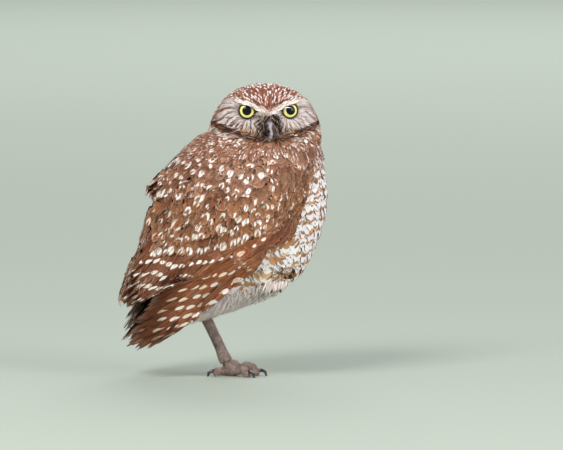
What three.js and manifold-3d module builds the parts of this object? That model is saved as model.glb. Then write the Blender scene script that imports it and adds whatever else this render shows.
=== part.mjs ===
// A burrowing owl standing on its left leg, with the right foot drawn up into the belly plumage
// and the head turned over its right side. Millimetres, life size.
// +X is where the breast points, -Y is the bird's right side, +Z is up.
// The origin is the middle of the standing foot's sole, on the floor.
import * as THREE from "three";
import { mergeVertices } from "three/addons/utils/BufferGeometryUtils.js";
import Module from "manifold-3d";

const wasm = await Module();
wasm.setup();

// Driving sizes
const GAP = 0.4; // left between neighbouring pieces
const BODY_SHIFT = -3; // the body's middle plane lies this far to the right of the standing foot

const HEAD = { x: 24.5, z: 193.5, turn: -83 }; // eye level of the head, and its turn from the breast
const EYE = { apart: 30, radius: 8.2, ahead: 24.5, up: 4.7 };
const BILL = { root: 27, top: 0.5, reach: 11, fall: 16, width: 3.7, height: 5 };
const NECK_Z = 158; // where the neck meets the trunk
const SHANK = { top: [-21, 6, 47], middle: [-10.4, 3.6, 25], bottom: [-3.6, 1, 10], thick: 3.7 };
const TUCKED = { x: 33, y: -27, z: 73 }; // where the drawn-up right foot shows
const FEATHERS = { coverts: 6, secondaries: 5, primaries: 4 }; // how thick the folded wing is
const ROOM = 130; // half side of the blocks that cut the whole bird

// Toes: heading in degrees from +X towards +Y, length along the floor, and how high the knuckle arches.
const TOES = {
  middle: { heading: -4, length: 16, thick: 3.4, arch: 6.4, claw: 7.5 },
  inner: { heading: -42, length: 13, thick: 3.1, arch: 4.6, claw: 7 },
  outer: { heading: 104, length: 13, thick: 2.9, arch: 4, claw: 6.5 },
  hallux: { heading: 194, length: 9, thick: 3, arch: 3, claw: 6.5 },
};
const TOE_START = 4.6; // distance of a toe's root from the middle of the sole
const SOLE_CUT = 1.3; // how much of each toe's pad the floor cuts flat

// Horizontal sections of the body: height, back, front, half width and where it is widest.
const TRUNK_SECTIONS = [
  [186, -18, 60, 31, 22],
  [172, -33, 66, 39.5, 20],
  [158, -47, 69.5, 46, 16],
  [144, -57.5, 70, 48, 12],
  [130, -61, 71.5, 48, 10],
  [114, -62, 68.5, 46.5, 8],
  [98, -61.5, 62.5, 43.5, 6],
  [84, -60, 55.5, 39, 3],
  [70, -58, 44, 32, -3],
  [57, -55, 20, 24, -16],
  [46, -53, -12, 15, -33],
  [38, -54, -38, 8, -46],
];
// The same for the body with its folded wings, down to the wing tips.
const WINGED_SECTIONS = [
  [186, -14, 46, 28, 18],
  [172, -29, 58, 41, 18],
  [158, -44, 66, 50.5, 17],
  [144, -59.5, 67, 53, 15],
  [130, -65.5, 67, 53.5, 11],
  [114, -68, 64, 52.5, 7],
  [98, -72, 57.5, 49.5, 0],
  [84, -76.5, 48, 45, -8],
  [70, -80.5, 30, 39, -24],
  [57, -84.5, 12, 33, -34],
  [46, -81, -8, 29, -42],
  [32, -79, -36, 26, -54],
  [14, -78, -65, 21, -71],
];
// Head sections about the eye level: height, half width, face depth and nape depth.
const HEAD_SECTIONS = [
  [24.4, 8, 8, 10],
  [20, 20.8, 14.5, 19],
  [12, 30.8, 21.5, 27],
  [3, 37.3, 26, 32],
  [-6, 41, 28, 34.5],
  [-14, 42.5, 28, 35],
  [-21, 42, 26, 35],
  [-29, 33, 19, 29],
];
// Side outlines in X and Z. The wing runs from the shoulder to the secondaries' tips and the primaries' tip.
const COVERT_TIPS = [
  [-100, 77],
  [-61, 88],
  [-24, 101],
  [16, 113],
  [48, 131],
  [72, 146],
];
const SECONDARY_TIPS = [
  [-100, 41],
  [-80, 49],
  [-61, 58.5],
  [-40, 63.5],
  [-20, 69.5],
  [2, 81],
  [24, 96],
  [40, 108],
  [72, 138],
];
const WING_TOP = [
  [68, 162],
  [42, 167],
  [10, 161],
  [-20, 150],
  [-46, 134],
  [-64, 121],
  [-98, 108],
];
const LEADING_EDGE = [
  [58, 150],
  [55, 128],
  [45, 111],
  [35, 99],
  [22, 81],
  [11, 63],
  [-17, 45.5],
  [-45, 32.5],
  [-66, 17.5],
  [-75, 10],
  [-96, 4],
];
const TAIL = { root: [-47, 72], tip: [-81, 26.5], halfWidth: 16.5, thick: 2.6, roof: 3 };

// Meshes to solids and back
function toSolid(geometry) {
  const bare = geometry.clone();
  for (const extra of ["normal", "uv"]) bare.deleteAttribute(extra);
  const merged = mergeVertices(bare, 1e-4);
  return new wasm.Manifold(
    new wasm.Mesh({
      numProp: 3,
      vertProperties: merged.getAttribute("position").array,
      triVerts: new Uint32Array(merged.index.array),
    }),
  );
}

function toGeometry(solid) {
  const { vertProperties, triVerts } = solid.getMesh();
  const geometry = new THREE.BufferGeometry();
  geometry.setAttribute("position", new THREE.BufferAttribute(new Float32Array(vertProperties), 3));
  geometry.setIndex(new THREE.BufferAttribute(new Uint32Array(triVerts), 1));
  geometry.computeVertexNormals();
  return geometry;
}

// The same solid, larger by about the gap all round, to cut its neighbours clear of it.
function grown(solid) {
  const { min, max } = solid.boundingBox();
  const middle = min.map((low, i) => (low + max[i]) / 2);
  const factor = min.map((low, i) => 1 + (2 * GAP) / (max[i] - low));
  return solid
    .translate(middle.map((m) => -m))
    .scale(factor)
    .translate(middle);
}

const mirrored = (solid) => solid.mirror([0, 1, 0]);
const joined = (solids) => solids.reduce((all, solid) => all.add(solid));
const cutBy = (solid, rooms) => rooms.reduce((left, room) => left.subtract(room), solid);
const largest = (solid) => solid.decompose().sort((a, b) => b.volume() - a.volume())[0];
const power = (value, exponent) => Math.sign(value) * Math.abs(value) ** exponent;

// A sphere whose rows run along the shape: place(share, angle, cap) puts each of its points, where
// share goes from 0 to 1, angle runs round, and cap closes both ends round.
function drawnSphere(around, along, roundness, place) {
  const geometry = new THREE.SphereGeometry(1, around, along);
  const points = geometry.getAttribute("position");
  for (let i = 0; i < points.count; i++) {
    const height = THREE.MathUtils.clamp(points.getY(i), -1, 1);
    const rim = Math.min(1, roundness * Math.sqrt(Math.max(0, 1 - height * height)));
    const angle = Math.atan2(-points.getZ(i), points.getX(i));
    const cap = rim < 1e-6 ? 0 : 1 - (1 - rim) ** 2;
    const at = place((1 - height) / 2, angle, cap);
    points.setXYZ(i, at.x, at.y, at.z);
  }
  return toSolid(geometry);
}

// Smooth values between the rows of a table whose first column is the height.
function between(rows) {
  const rising = [...rows].reverse();
  const width = rising[0].length - 1;
  const heights = rising.map((row) => row[0]);
  const values = rising.flatMap((row) => row.slice(1));
  const spline = new THREE.CubicInterpolant(heights, values, width, new Float32Array(width));
  const [top, bottom] = [rows[0][0], rising[0][0]];
  return (share) => {
    const z = top + (bottom - top) * share;
    return [z, ...spline.evaluate(z)];
  };
}

// A body made of horizontal sections, from the top one down to the last.
function sectionedBody(sections, { around = 26, along = 15, roundness = 2.2, backPower = 1 } = {}) {
  const section = between(sections);
  return drawnSphere(around, along, roundness, (share, angle, cap) => {
    const [z, back, front, half, widest] = section(share);
    const middle = (back + front) / 2;
    const c = Math.cos(angle);
    const x = c > 0 ? widest + (front - widest) * c ** 0.92 : widest + (widest - back) * power(c, backPower);
    const y = half * power(Math.sin(angle), 0.96);
    return new THREE.Vector3(middle + (x - middle) * cap, y * cap, z);
  });
}

const inset = (sections, by) =>
  sections.map(([z, back, front, half, widest]) => [z, back + by, front - by, half - by, widest]);

// A limb that follows a curve, with the room its neighbours leave it. girth(share) gives its half width
// and half height, side is the width's direction, and roof lifts its edges.
function limb(points, girth, { around = 8, along = 6, roundness = 2.4, side = [0, 1, 0], roof = 0 } = {}) {
  const curve = new THREE.CatmullRomCurve3(points.map((p) => new THREE.Vector3(...p)));
  const wide = new THREE.Vector3(...side);
  const made = (by) =>
    drawnSphere(around, along, roundness, (share, angle, cap) => {
      const ahead = curve.getTangentAt(share);
      const centre = curve.getPointAt(share).addScaledVector(ahead, by * (2 * share - 1));
      const across = wide.clone().addScaledVector(ahead, -ahead.dot(wide)).normalize();
      const up = new THREE.Vector3().crossVectors(across, ahead);
      const [width, height] = girth(share);
      const lift = (height + by) * cap * Math.sin(angle) + roof * Math.cos(angle) ** 2;
      return centre.addScaledVector(across, (width + by) * cap * Math.cos(angle)).addScaledVector(up, lift);
    });
  return { solid: made(0), room: made(GAP) };
}

function ball(radius, at, stretch = [1, 1, 1]) {
  const geometry = new THREE.SphereGeometry(radius, 14, 9);
  geometry.scale(...stretch).translate(...at);
  return toSolid(geometry);
}

function block(low, high) {
  const size = high.map((h, i) => h - low[i]);
  const geometry = new THREE.BoxGeometry(...size);
  geometry.translate(...low.map((l, i) => l + size[i] / 2));
  return toSolid(geometry);
}

// A side outline in X and Z, drawn out from the middle plane to the bird's right.
function sidePrism(outline) {
  const shape = new THREE.Shape(outline.map(([x, z]) => new THREE.Vector2(x, z)));
  const geometry = new THREE.ExtrudeGeometry(shape, { depth: ROOM, bevelEnabled: false });
  geometry.rotateX(Math.PI / 2);
  return toSolid(geometry);
}

function smooth(points, steps) {
  const curve = new THREE.SplineCurve(points.map(([x, z]) => new THREE.Vector2(x, z)));
  return curve.getSpacedPoints(steps).map((p) => [p.x, p.y]);
}

const lowered = (line, by) => line.map(([x, z]) => [x, z - by]);

// Head, in its own frame: +X is the face, and the eye level is at 0

// How far the face stands out beyond the plain oval of the head: brows, eye hollows, lores and cheeks.
function faceRelief(y, z) {
  const bump = (dy, dz, wide, tall) => Math.exp(-((dy / wide) ** 2) - (dz / tall) ** 2);
  const fromEye = Math.abs(y) - EYE.apart / 2;
  const browLine = 8 + 0.35 * Math.abs(y);
  return (
    2.6 * bump(Math.abs(y) - 12, z - browLine, 13, 4) -
    2.4 * bump(fromEye - 2, z - EYE.up + 3, 8, 7) +
    3.4 * bump(y, z + 5, 7, 9) +
    1.2 * bump(Math.abs(y) - 22, z + 9, 10, 9)
  );
}

function headOval() {
  const section = between(HEAD_SECTIONS);
  return drawnSphere(28, 17, 2.2, (share, evenAngle, cap) => {
    const angle = evenAngle - 0.45 * Math.sin(evenAngle); // more points on the face than on the nape
    const [z, half, face, nape] = section(share);
    const c = Math.cos(angle);
    const y = half * power(Math.sin(angle), 0.95) * cap;
    const relief = Math.max(0, c) * cap * faceRelief(y, z);
    const x = (c > 0 ? face * c ** 0.8 : nape * c) * cap;
    return new THREE.Vector3(x + relief, y, z);
  });
}

function bill() {
  const { root, top, reach, fall, width, height } = BILL;
  const upper = limb(
    [
      [root - 6, 0, top - height],
      [root + 3, 0, top - height],
      [root + reach * 0.78, 0, top - height - fall * 0.2],
      [root + reach * 0.92, 0, top - fall * 0.76],
      [root + reach * 0.76, 0, top - fall],
    ],
    (share) => [width * (1 - share) ** 0.6 + 0.5, height * (1 - share) ** 0.55 + 0.6],
    { around: 12, along: 10, roundness: 3 },
  );
  const lower = limb(
    [
      [root - 6, 0, top - height * 2.1],
      [root + 2, 0, top - height * 2.3],
      [root + reach * 0.5, 0, top - fall * 0.86],
    ],
    (share) => [(width - 0.7) * (1 - share) ** 0.6 + 0.5, 2.4 * (1 - share) ** 0.5 + 0.5],
    { around: 10 },
  );
  return { upper: upper.solid, lower: lower.solid.subtract(upper.room), room: upper.room.add(lower.room) };
}

const billParts = bill();
const eyeBall = (side) => ball(EYE.radius, [EYE.ahead - EYE.radius, (side * EYE.apart) / 2, EYE.up]);
const eyes = { right: eyeBall(-1), left: eyeBall(1) };
const oval = headOval();
const head = cutBy(oval, [grown(eyes.left), grown(eyes.right), billParts.room]);
const headRoom = grown(oval).add(billParts.room).rotate([0, 0, HEAD.turn]).translate([HEAD.x, 0, HEAD.z]);

// Trunk and neck
const core = sectionedBody(TRUNK_SECTIONS);
const coreRoom = grown(core);
const aboveNeck = block([-ROOM, -ROOM, NECK_Z + GAP], [ROOM, ROOM, 2 * ROOM]);
const belowNeck = block([-ROOM, -ROOM, -ROOM], [ROOM, ROOM, NECK_Z]);
const neck = core.intersect(aboveNeck).subtract(headRoom);

// The standing leg
const [hipX, hipY, hipZ] = SHANK.top;
const waist = (share) => 0.5 * Math.sin(Math.PI * share);
const shank = limb(
  [SHANK.top, SHANK.middle, SHANK.bottom],
  (share) => [SHANK.thick - waist(share), SHANK.thick + 0.4 - waist(share)],
  { around: 12, along: 8, roundness: 3 },
);
const thigh = limb(
  [
    [4, hipY + 4, 68],
    [-9, hipY + 2, 58],
    [hipX + 2, hipY, hipZ - 2],
  ],
  (share) => [13 - 7.5 * share, 12 - 7 * share],
  { around: 10, roundness: 1.6 },
);

// The standing foot: every pad and claw tip is cut flat at the floor
const underFloor = block([-ROOM, -ROOM, -ROOM], [ROOM, ROOM, 0]);
const solePad = ball(6, [0, 0, 5.4], [1.15, 1.05, 1]);

function toeAndClaw({ heading, length, thick, arch, claw }) {
  const turn = THREE.MathUtils.degToRad(heading);
  const out = (reach, z) => [reach * Math.cos(turn), reach * Math.sin(turn), z];
  const side = [-Math.sin(turn), Math.cos(turn), 0];
  const rest = thick - SOLE_CUT;
  const end = TOE_START + length;
  const toe = limb(
    [
      out(TOE_START, rest + 2.6),
      out(TOE_START + length * 0.32, rest + arch * 0.62),
      out(TOE_START + length * 0.58, rest + arch * 0.86),
      out(end - length * 0.19, rest + 0.6),
      out(end, rest - 0.2),
    ],
    (share) => [thick * (0.94 + 0.07 * Math.cos(share * 12)), thick * (0.98 + 0.06 * Math.cos(share * 12))],
    { along: 9, side, roundness: 2 },
  );
  const hook = limb(
    [
      out(end - 2.6, rest + 1.2),
      out(end + claw * 0.32, rest + 2.6),
      out(end + claw * 0.66, rest + 0.4),
      out(end + claw * 0.68, -0.6),
    ],
    (share) => [1.4 * (1 - share) ** 0.6 + 0.4, 1.6 * (1 - share) ** 0.6 + 0.4],
    { around: 6, along: 5, side, roundness: 3 },
  );
  return { toe, claw: cutBy(hook.solid, [underFloor, toe.room]) };
}

const foot = Object.entries(TOES).map(([name, sizes]) => ({ name, ...toeAndClaw(sizes) }));
const middleToeRoom = foot.find(({ name }) => name === "middle").toe.room;
function toeSolid({ name, toe }) {
  const rooms = [underFloor, grown(solePad)];
  if (name === "inner") rooms.push(middleToeRoom);
  return cutBy(toe.solid, rooms);
}

// The drawn-up right leg: the thigh swells the belly plumage, and three claws come out of it
const tuckedThigh = limb(
  [
    [-4, -21, 88],
    [17, -22.5, 81],
    [38, -20, 77],
  ],
  (share) => [13 + 1.5 * Math.sin(Math.PI * share), 14],
  { around: 12, roundness: 1.7 },
);
const curls = [-1, 0, 1].map((i) => {
  const [x, y, z] = [TUCKED.x + 3.4 * i, TUCKED.y + 0.9 * i, TUCKED.z - 0.6 * Math.abs(i)];
  const side = [1, 0, 0];
  const toe = limb(
    [
      [x - 4, y + 9, z + 4],
      [x - 1, y + 3, z + 3],
      [x + 1, y - 2.2, z - 0.5],
    ],
    () => [2, 2.3],
    { along: 4, side },
  );
  const claw = limb(
    [
      [x + 1.2, y - 3.4, z - 1.8],
      [x + 0.8, y - 5.2, z - 4.2],
      [x - 0.6, y - 4.8, z - 7.4],
    ],
    (share) => [1.3 * (1 - share) ** 0.6 + 0.35, 1.5 * (1 - share) ** 0.6 + 0.35],
    { around: 6, along: 5, side },
  );
  return { toe, claw };
});
const curlRooms = curls.flatMap(({ toe, claw }) => [toe.room, claw.room]);
const tuckedToes = joined(curls.map(({ toe }) => toe.solid));

// Folded wings: the winged body's shell, cut by the side outlines, on the bird's right
const WINGED_LOOK = { around: 22, along: 15, roundness: 2.6, backPower: 1.12 };
const wingSide = sidePrism([...smooth(WING_TOP, 8), ...smooth(LEADING_EDGE, 12).reverse()]);
const wingShell = (thick) =>
  sectionedBody(WINGED_SECTIONS, WINGED_LOOK)
    .subtract(sectionedBody(inset(WINGED_SECTIONS, thick), WINGED_LOOK))
    .intersect(wingSide)
    .intersect(block([-ROOM, -ROOM, -ROOM], [ROOM, -GAP, ROOM * 2]))
    .subtract(coreRoom)
    .subtract(headRoom);
const covertLine = smooth(COVERT_TIPS, 8);
const secondaryLine = smooth(SECONDARY_TIPS, 10);
const [below, above] = [-ROOM, 2 * ROOM];
const wing = {
  coverts: wingShell(FEATHERS.coverts).intersect(sidePrism([...covertLine, [ROOM, above], [-ROOM, above]])),
  secondaries: wingShell(FEATHERS.secondaries).intersect(
    sidePrism([...secondaryLine, ...lowered(covertLine, GAP).reverse()]),
  ),
  primaries: wingShell(FEATHERS.primaries)
    .intersect(sidePrism([...lowered(secondaryLine, GAP), [ROOM, below], [-ROOM, below]]))
    .intersect(block([-ROOM, -ROOM, -ROOM], [ROOM, -TAIL.halfWidth - GAP, ROOM])),
};

// The tail, a flat sheaf with lowered edges
const [rootX, rootZ] = TAIL.root;
const [tipX, tipZ] = TAIL.tip;
const tail = limb(
  [
    [rootX, 0, rootZ],
    [(rootX + tipX) / 2 - 1, 0, (rootZ + tipZ) / 2 - 1],
    [tipX, 0, tipZ],
  ],
  (share) => [TAIL.halfWidth * (0.8 + 0.2 * share), TAIL.thick * (1.5 - 0.5 * share)],
  { around: 14, along: 7, roundness: 3.4, roof: -TAIL.roof },
);

// Colours of the solids
const look = (color, roughness = 0.85) => new THREE.MeshStandardMaterial({ color, roughness, metalness: 0 });
const BROWN = look(0x8c5f45);
const RUSSET = look(0x7b4a30);
const CREAM = look(0xd9cfc4);
const GREY_BROWN = look(0xa08a7c);
const TOE_SKIN = look(0x9a8679, 0.7);
const HORN = look(0x8f8d92, 0.4);
const CLAW = look(0x2a2422, 0.35);
const YELLOW = look(0xd8cf4a, 0.1);

function piece(name, solid, material) {
  const mesh = new THREE.Mesh(toGeometry(largest(solid)), material);
  mesh.name = name;
  return mesh;
}

const headGroup = new THREE.Group();
headGroup.position.set(HEAD.x, 0, HEAD.z);
headGroup.rotation.z = THREE.MathUtils.degToRad(HEAD.turn);
headGroup.add(
  piece("head", head, GREY_BROWN),
  piece("eye_right", eyes.right, YELLOW),
  piece("eye_left", eyes.left, YELLOW),
  piece("bill_upper", billParts.upper, HORN),
  piece("bill_lower", billParts.lower, HORN),
);

const body = new THREE.Group();
body.position.y = BODY_SHIFT;
const legRooms = [thigh.room, shank.room, tuckedThigh.room.subtract(wingSide), ...curlRooms];
body.add(
  headGroup,
  piece("neck", neck, BROWN),
  piece("trunk", cutBy(core.intersect(belowNeck).subtract(headRoom), legRooms), CREAM),
  piece("tail", tail.solid.subtract(coreRoom), RUSSET),
  piece("leg_left_thigh", thigh.solid.subtract(shank.room), CREAM),
  piece("leg_left_shank", shank.solid.subtract(grown(solePad).translate([0, -BODY_SHIFT, 0])), TOE_SKIN),
  piece("leg_right", cutBy(tuckedThigh.solid, [...curlRooms, grown(wingSide)]), CREAM),
  piece("foot_right", tuckedToes, TOE_SKIN),
);
for (const [i, { claw, toe }] of curls.entries()) {
  body.add(piece(`claw_right_${i + 1}`, claw.solid.subtract(toe.room), CLAW));
}
for (const [name, solid] of Object.entries(wing)) {
  const material = name === "coverts" ? BROWN : RUSSET;
  body.add(piece(`wing_right_${name}`, solid, material), piece(`wing_left_${name}`, mirrored(solid), material));
}

const footGroup = new THREE.Group();
footGroup.add(piece("foot_left_sole", solePad.subtract(underFloor), TOE_SKIN));
for (const part of foot) {
  footGroup.add(
    piece(`toe_left_${part.name}`, toeSolid(part), TOE_SKIN),
    piece(`claw_left_${part.name}`, part.claw, CLAW),
  );
}

const owl = new THREE.Group();
owl.add(body, footGroup);

export default owl;
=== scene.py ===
"""A burrowing owl in life size, standing on its left leg with the head turned over its right side.

Sizes are in millimetres in this file, and each mesh is written in metres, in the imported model's frame:
+X is where the breast points, -Y is the bird's right side and +Z is up.
"""
import math

import bpy
import numpy as np
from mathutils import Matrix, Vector
from mathutils.bvhtree import BVHTree


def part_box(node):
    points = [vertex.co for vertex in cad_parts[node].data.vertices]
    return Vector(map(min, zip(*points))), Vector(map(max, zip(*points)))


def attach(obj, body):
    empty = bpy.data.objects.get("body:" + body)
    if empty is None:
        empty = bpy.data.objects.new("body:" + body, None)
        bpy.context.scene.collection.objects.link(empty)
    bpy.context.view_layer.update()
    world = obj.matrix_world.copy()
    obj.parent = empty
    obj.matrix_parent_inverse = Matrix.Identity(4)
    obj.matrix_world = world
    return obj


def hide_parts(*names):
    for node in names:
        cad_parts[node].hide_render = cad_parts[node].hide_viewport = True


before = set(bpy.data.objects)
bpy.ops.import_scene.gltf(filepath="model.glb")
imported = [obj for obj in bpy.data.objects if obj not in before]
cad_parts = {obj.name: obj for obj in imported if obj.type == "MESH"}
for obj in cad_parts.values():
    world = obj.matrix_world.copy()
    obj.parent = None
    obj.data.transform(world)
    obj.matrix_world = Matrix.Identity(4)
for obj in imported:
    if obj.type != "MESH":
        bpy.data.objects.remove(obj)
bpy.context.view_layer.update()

MM = 0.001
UP = np.array([0, 0, 1.0])
scene = bpy.context.scene
SIDES = {"right": -1, "left": 1}
MIDDLE_Y = -3.0  # the body's middle plane
BESIDE = 200  # well out from either side of the bird


# Sums on rows of places and colours
def unit(v):
    return v / np.maximum(np.linalg.norm(v, axis=-1, keepdims=True), 1e-9)


def step(x, low, high):
    """0 at low and 1 at high, with a smooth turn between them; low may be the greater one."""
    t = np.clip((x - low) / (high - low), 0, 1)
    return t * t * (3 - 2 * t)


def blend(share, a, b):
    share = np.asarray(share)[..., None]
    return np.asarray(a) * (1 - share) + np.asarray(b) * share


def rgb(red, green, blue):
    """A screen colour, 0 to 255, as the light values that the materials use."""
    shares = (c / 255 for c in (red, green, blue))
    return np.array([s / 12.92 if s < 0.04045 else ((s + 0.055) / 1.055) ** 2.4 for s in shares])


def tones(share, first, second):
    """Colours between two screen colours."""
    return blend(share, rgb(*first), rgb(*second))


def by_height(heights, values):
    """A measure that changes with a place's height."""
    return lambda points: np.interp(points[:, 2], heights, values)


# The stage
VIEW_AT = Vector((37.0, 0.0, 112.2))  # what the middle of the picture shows
VIEW_FROM = 6000.0
VIEW_UP = math.radians(5)
VIEW_WIDTH = 416.6
SENSOR = 36
LIT_AT = Vector((0, 0, 0.12))
SOFTBOXES = (
    ("key_softbox", (-0.9, -1.5, 1.7), 34, 0.9, (1, 0.985, 0.96)),
    ("fill_softbox", (1.9, -1.4, 0.9), 30, 1.2, (0.98, 0.98, 1)),
    ("floor_softbox", (0.4, 4.0, 2.6), 85, 3.4, (1, 1, 1)),
)


def set_stage():
    camera = bpy.data.objects.new("camera", bpy.data.cameras.new("camera"))
    scene.collection.objects.link(camera)
    away = Vector((0, -math.cos(VIEW_UP), math.sin(VIEW_UP)))
    camera.location = (VIEW_AT + away * VIEW_FROM) * MM
    camera.rotation_euler = away.to_track_quat("Z", "Y").to_euler()
    camera.data.sensor_width = SENSOR
    camera.data.lens = SENSOR * VIEW_FROM / VIEW_WIDTH
    camera.data.clip_end = 60
    scene.camera = camera
    scene.view_settings.view_transform = "Standard"

    bpy.ops.object.select_all(action="DESELECT")
    bpy.ops.mesh.primitive_plane_add(size=44, location=(0, 8, 0))
    floor = bpy.context.object
    floor.name = "floor"
    finish = Finish("floor_paint")
    paint = finish.mix(finish.noise(finish.place(), 0.35), rgb(172, 181, 171), rgb(180, 188, 178))
    finish.surface(paint, 0.9, {"Specular IOR Level": 0.1}).put_on(floor)

    for name, place, power, size, colour in SOFTBOXES:
        light = bpy.data.lights.new(name, "AREA")
        light.energy, light.size, light.color = power, size, colour
        lamp = bpy.data.objects.new(name, light)
        lamp.location = place
        lamp.rotation_euler = (Vector(place) - LIT_AT).to_track_quat("Z", "Y").to_euler()
        scene.collection.objects.link(lamp)
    world = bpy.data.worlds.new("studio")
    world.use_nodes = True
    sky = world.node_tree.nodes["Background"].inputs
    sky[0].default_value, sky[1].default_value = (0.84, 0.87, 0.85, 1), 0.66
    scene.world = world


# Materials
class Value:
    """A number, vector or colour socket of a material, which takes part in Python sums."""

    def __init__(self, finish, socket):
        self.finish, self.socket = finish, socket

    def math(self, operation, *others):
        inputs = dict(enumerate((self,) + others))
        return self.finish.node("ShaderNodeMath", {"operation": operation}, inputs)

    def __add__(self, other):
        return self.math("ADD", other)

    def __sub__(self, other):
        return self.math("SUBTRACT", other)

    def __rsub__(self, other):
        return (self * -1) + other

    def __mul__(self, other):
        return self.math("MULTIPLY", other)

    def __truediv__(self, other):
        return self.math("DIVIDE", other)

    def __pow__(self, power):
        return self.math("POWER", power)

    def __abs__(self):
        return self.math("ABSOLUTE")

    __radd__, __rmul__ = __add__, __mul__

    def step(self, low, high):
        """0 at low and 1 at high, with a smooth turn between them; low may be the greater one."""
        inputs = {"Value": self, "From Min": low, "From Max": high}
        return self.finish.node("ShaderNodeMapRange", {"interpolation_type": "SMOOTHSTEP"}, inputs)

    def most(self, other):
        return self.math("MAXIMUM", other)

    def parts(self):
        return self.finish.node("ShaderNodeSeparateXYZ", inputs={0: self}, output=(0, 1, 2))


class Finish:
    """A material under construction."""

    def __init__(self, name):
        self.material = bpy.data.materials.new(name)
        self.material.use_nodes = True
        self.tree = self.material.node_tree
        self.tree.nodes.clear()

    def node(self, kind, settings=None, inputs=None, output=0):
        """Add a node, and return one of its outputs, or a list of them where output is a tuple."""
        made = self.tree.nodes.new(kind)
        for name, value in (settings or {}).items():
            setattr(made, name, value)
        for name, value in (inputs or {}).items():
            socket = made.inputs[name]
            if isinstance(value, Value):
                self.tree.links.new(value.socket, socket)
            elif socket.type == "RGBA":
                socket.default_value = (*value[:3], 1)
            else:
                socket.default_value = value
        if isinstance(output, tuple):
            return [Value(self, made.outputs[index]) for index in output]
        return Value(self, made.outputs[output]) if made.outputs else None

    def place(self):
        return self.node("ShaderNodeTexCoord", output=3)

    def attribute(self, name):
        """A colour attribute's colour and its fourth value."""
        return self.node("ShaderNodeAttribute", {"attribute_name": name}, output=(0, 3))

    def mix(self, share, first, second):
        """A colour between two others."""
        return self.node("ShaderNodeMix", {"data_type": "RGBA"}, {0: share, 6: first, 7: second}, output=2)

    def vector_math(self, operation, inputs, output=0):
        return self.node("ShaderNodeVectorMath", {"operation": operation}, inputs, output)

    def shade(self, colour, factor):
        """A colour made darker or lighter by a number."""
        return self.vector_math("SCALE", {0: colour, "Scale": factor})

    def stretch(self, vector, by):
        return self.vector_math("MULTIPLY", {0: vector, 1: by})

    def vector(self, x, y, z):
        return self.node("ShaderNodeCombineXYZ", inputs={0: x, 1: y, 2: z})

    def noise(self, vector, scale, detail=2.0, rough=0.5):
        inputs = {"Vector": vector, "Scale": scale, "Detail": detail, "Roughness": rough}
        return self.node("ShaderNodeTexNoise", inputs=inputs)

    def surface(self, colour, roughness, fixed=None, height=None, lift=0.0003):
        """Close the material: fixed holds the shader's constants, height feeds a bump that is lift deep."""
        inputs = {"Base Color": colour, "Roughness": roughness, **(fixed or {})}
        if height is not None:
            bump = {"Height": height, "Distance": lift, "Strength": 1.0}
            inputs["Normal"] = self.node("ShaderNodeBump", inputs=bump)
        shader = self.node("ShaderNodeBsdfPrincipled", inputs=inputs)
        self.node("ShaderNodeOutputMaterial", inputs={0: shader})
        return self

    def put_on(self, thing):
        thing.data.materials.clear()
        thing.data.materials.append(self.material)


# Forms, which the skin, the feathers and the horn are made from
def edit_whole(*works):
    """Run edit-mode operators on the whole of the active mesh."""
    bpy.ops.object.mode_set(mode="EDIT")
    bpy.ops.mesh.select_all(action="SELECT")
    for work in works:
        work()
    bpy.ops.object.mode_set(mode="OBJECT")


def even_out(thing, rounds, group=""):
    """Smooth a mesh, all over or where a vertex group says."""
    bpy.context.view_layer.objects.active = thing
    smooth = thing.modifiers.new("smooth", "SMOOTH")
    smooth.factor, smooth.iterations, smooth.vertex_group = 0.5, rounds, group
    bpy.ops.object.modifier_apply(modifier="smooth")


def join(things):
    """Join things into the last one."""
    bpy.ops.object.select_all(action="DESELECT")
    for thing in things:
        thing.select_set(True)
    bpy.context.view_layer.objects.active = things[-1]
    if len(things) > 1:
        bpy.ops.object.join()
    return things[-1]


def fused(name, nodes, grow, voxel, rounds):
    """One closed mesh over copies of CAD nodes, each swollen by grow so that the cuts between them close."""
    copies = []
    for node in nodes:
        copies.append(bpy.data.objects.new(node + "_copy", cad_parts[node].data.copy()))
        scene.collection.objects.link(copies[-1])
    form = join(copies[::-1])
    form.name = form.data.name = name
    form.data.materials.clear()
    edit_whole(
        lambda: bpy.ops.mesh.remove_doubles(threshold=0.00001),
        lambda: grow and bpy.ops.transform.shrink_fatten(value=grow * MM),
    )
    remesh = form.modifiers.new("remesh", "REMESH")
    remesh.mode, remesh.voxel_size, remesh.adaptivity = "VOXEL", voxel * MM, 0
    bpy.ops.object.modifier_apply(modifier="remesh")
    even_out(form, rounds)
    form.data.shade_smooth()
    return form


def numbers_of(thing, what):
    flat = np.empty(len(thing.data.vertices) * 3, np.float32)
    thing.data.vertices.foreach_get(what, flat)
    return flat.reshape(-1, 3).astype(float)


def vertices_of(thing):
    return numbers_of(thing, "co") / MM


def normals_of(thing):
    return numbers_of(thing, "normal")


def move_vertices(thing, points):
    thing.data.vertices.foreach_set("co", (points * MM).astype(np.float32).ravel())
    thing.data.update()


def box_of(node):
    """A CAD node's low and high corners."""
    return [np.array(corner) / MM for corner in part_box(node)]


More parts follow.
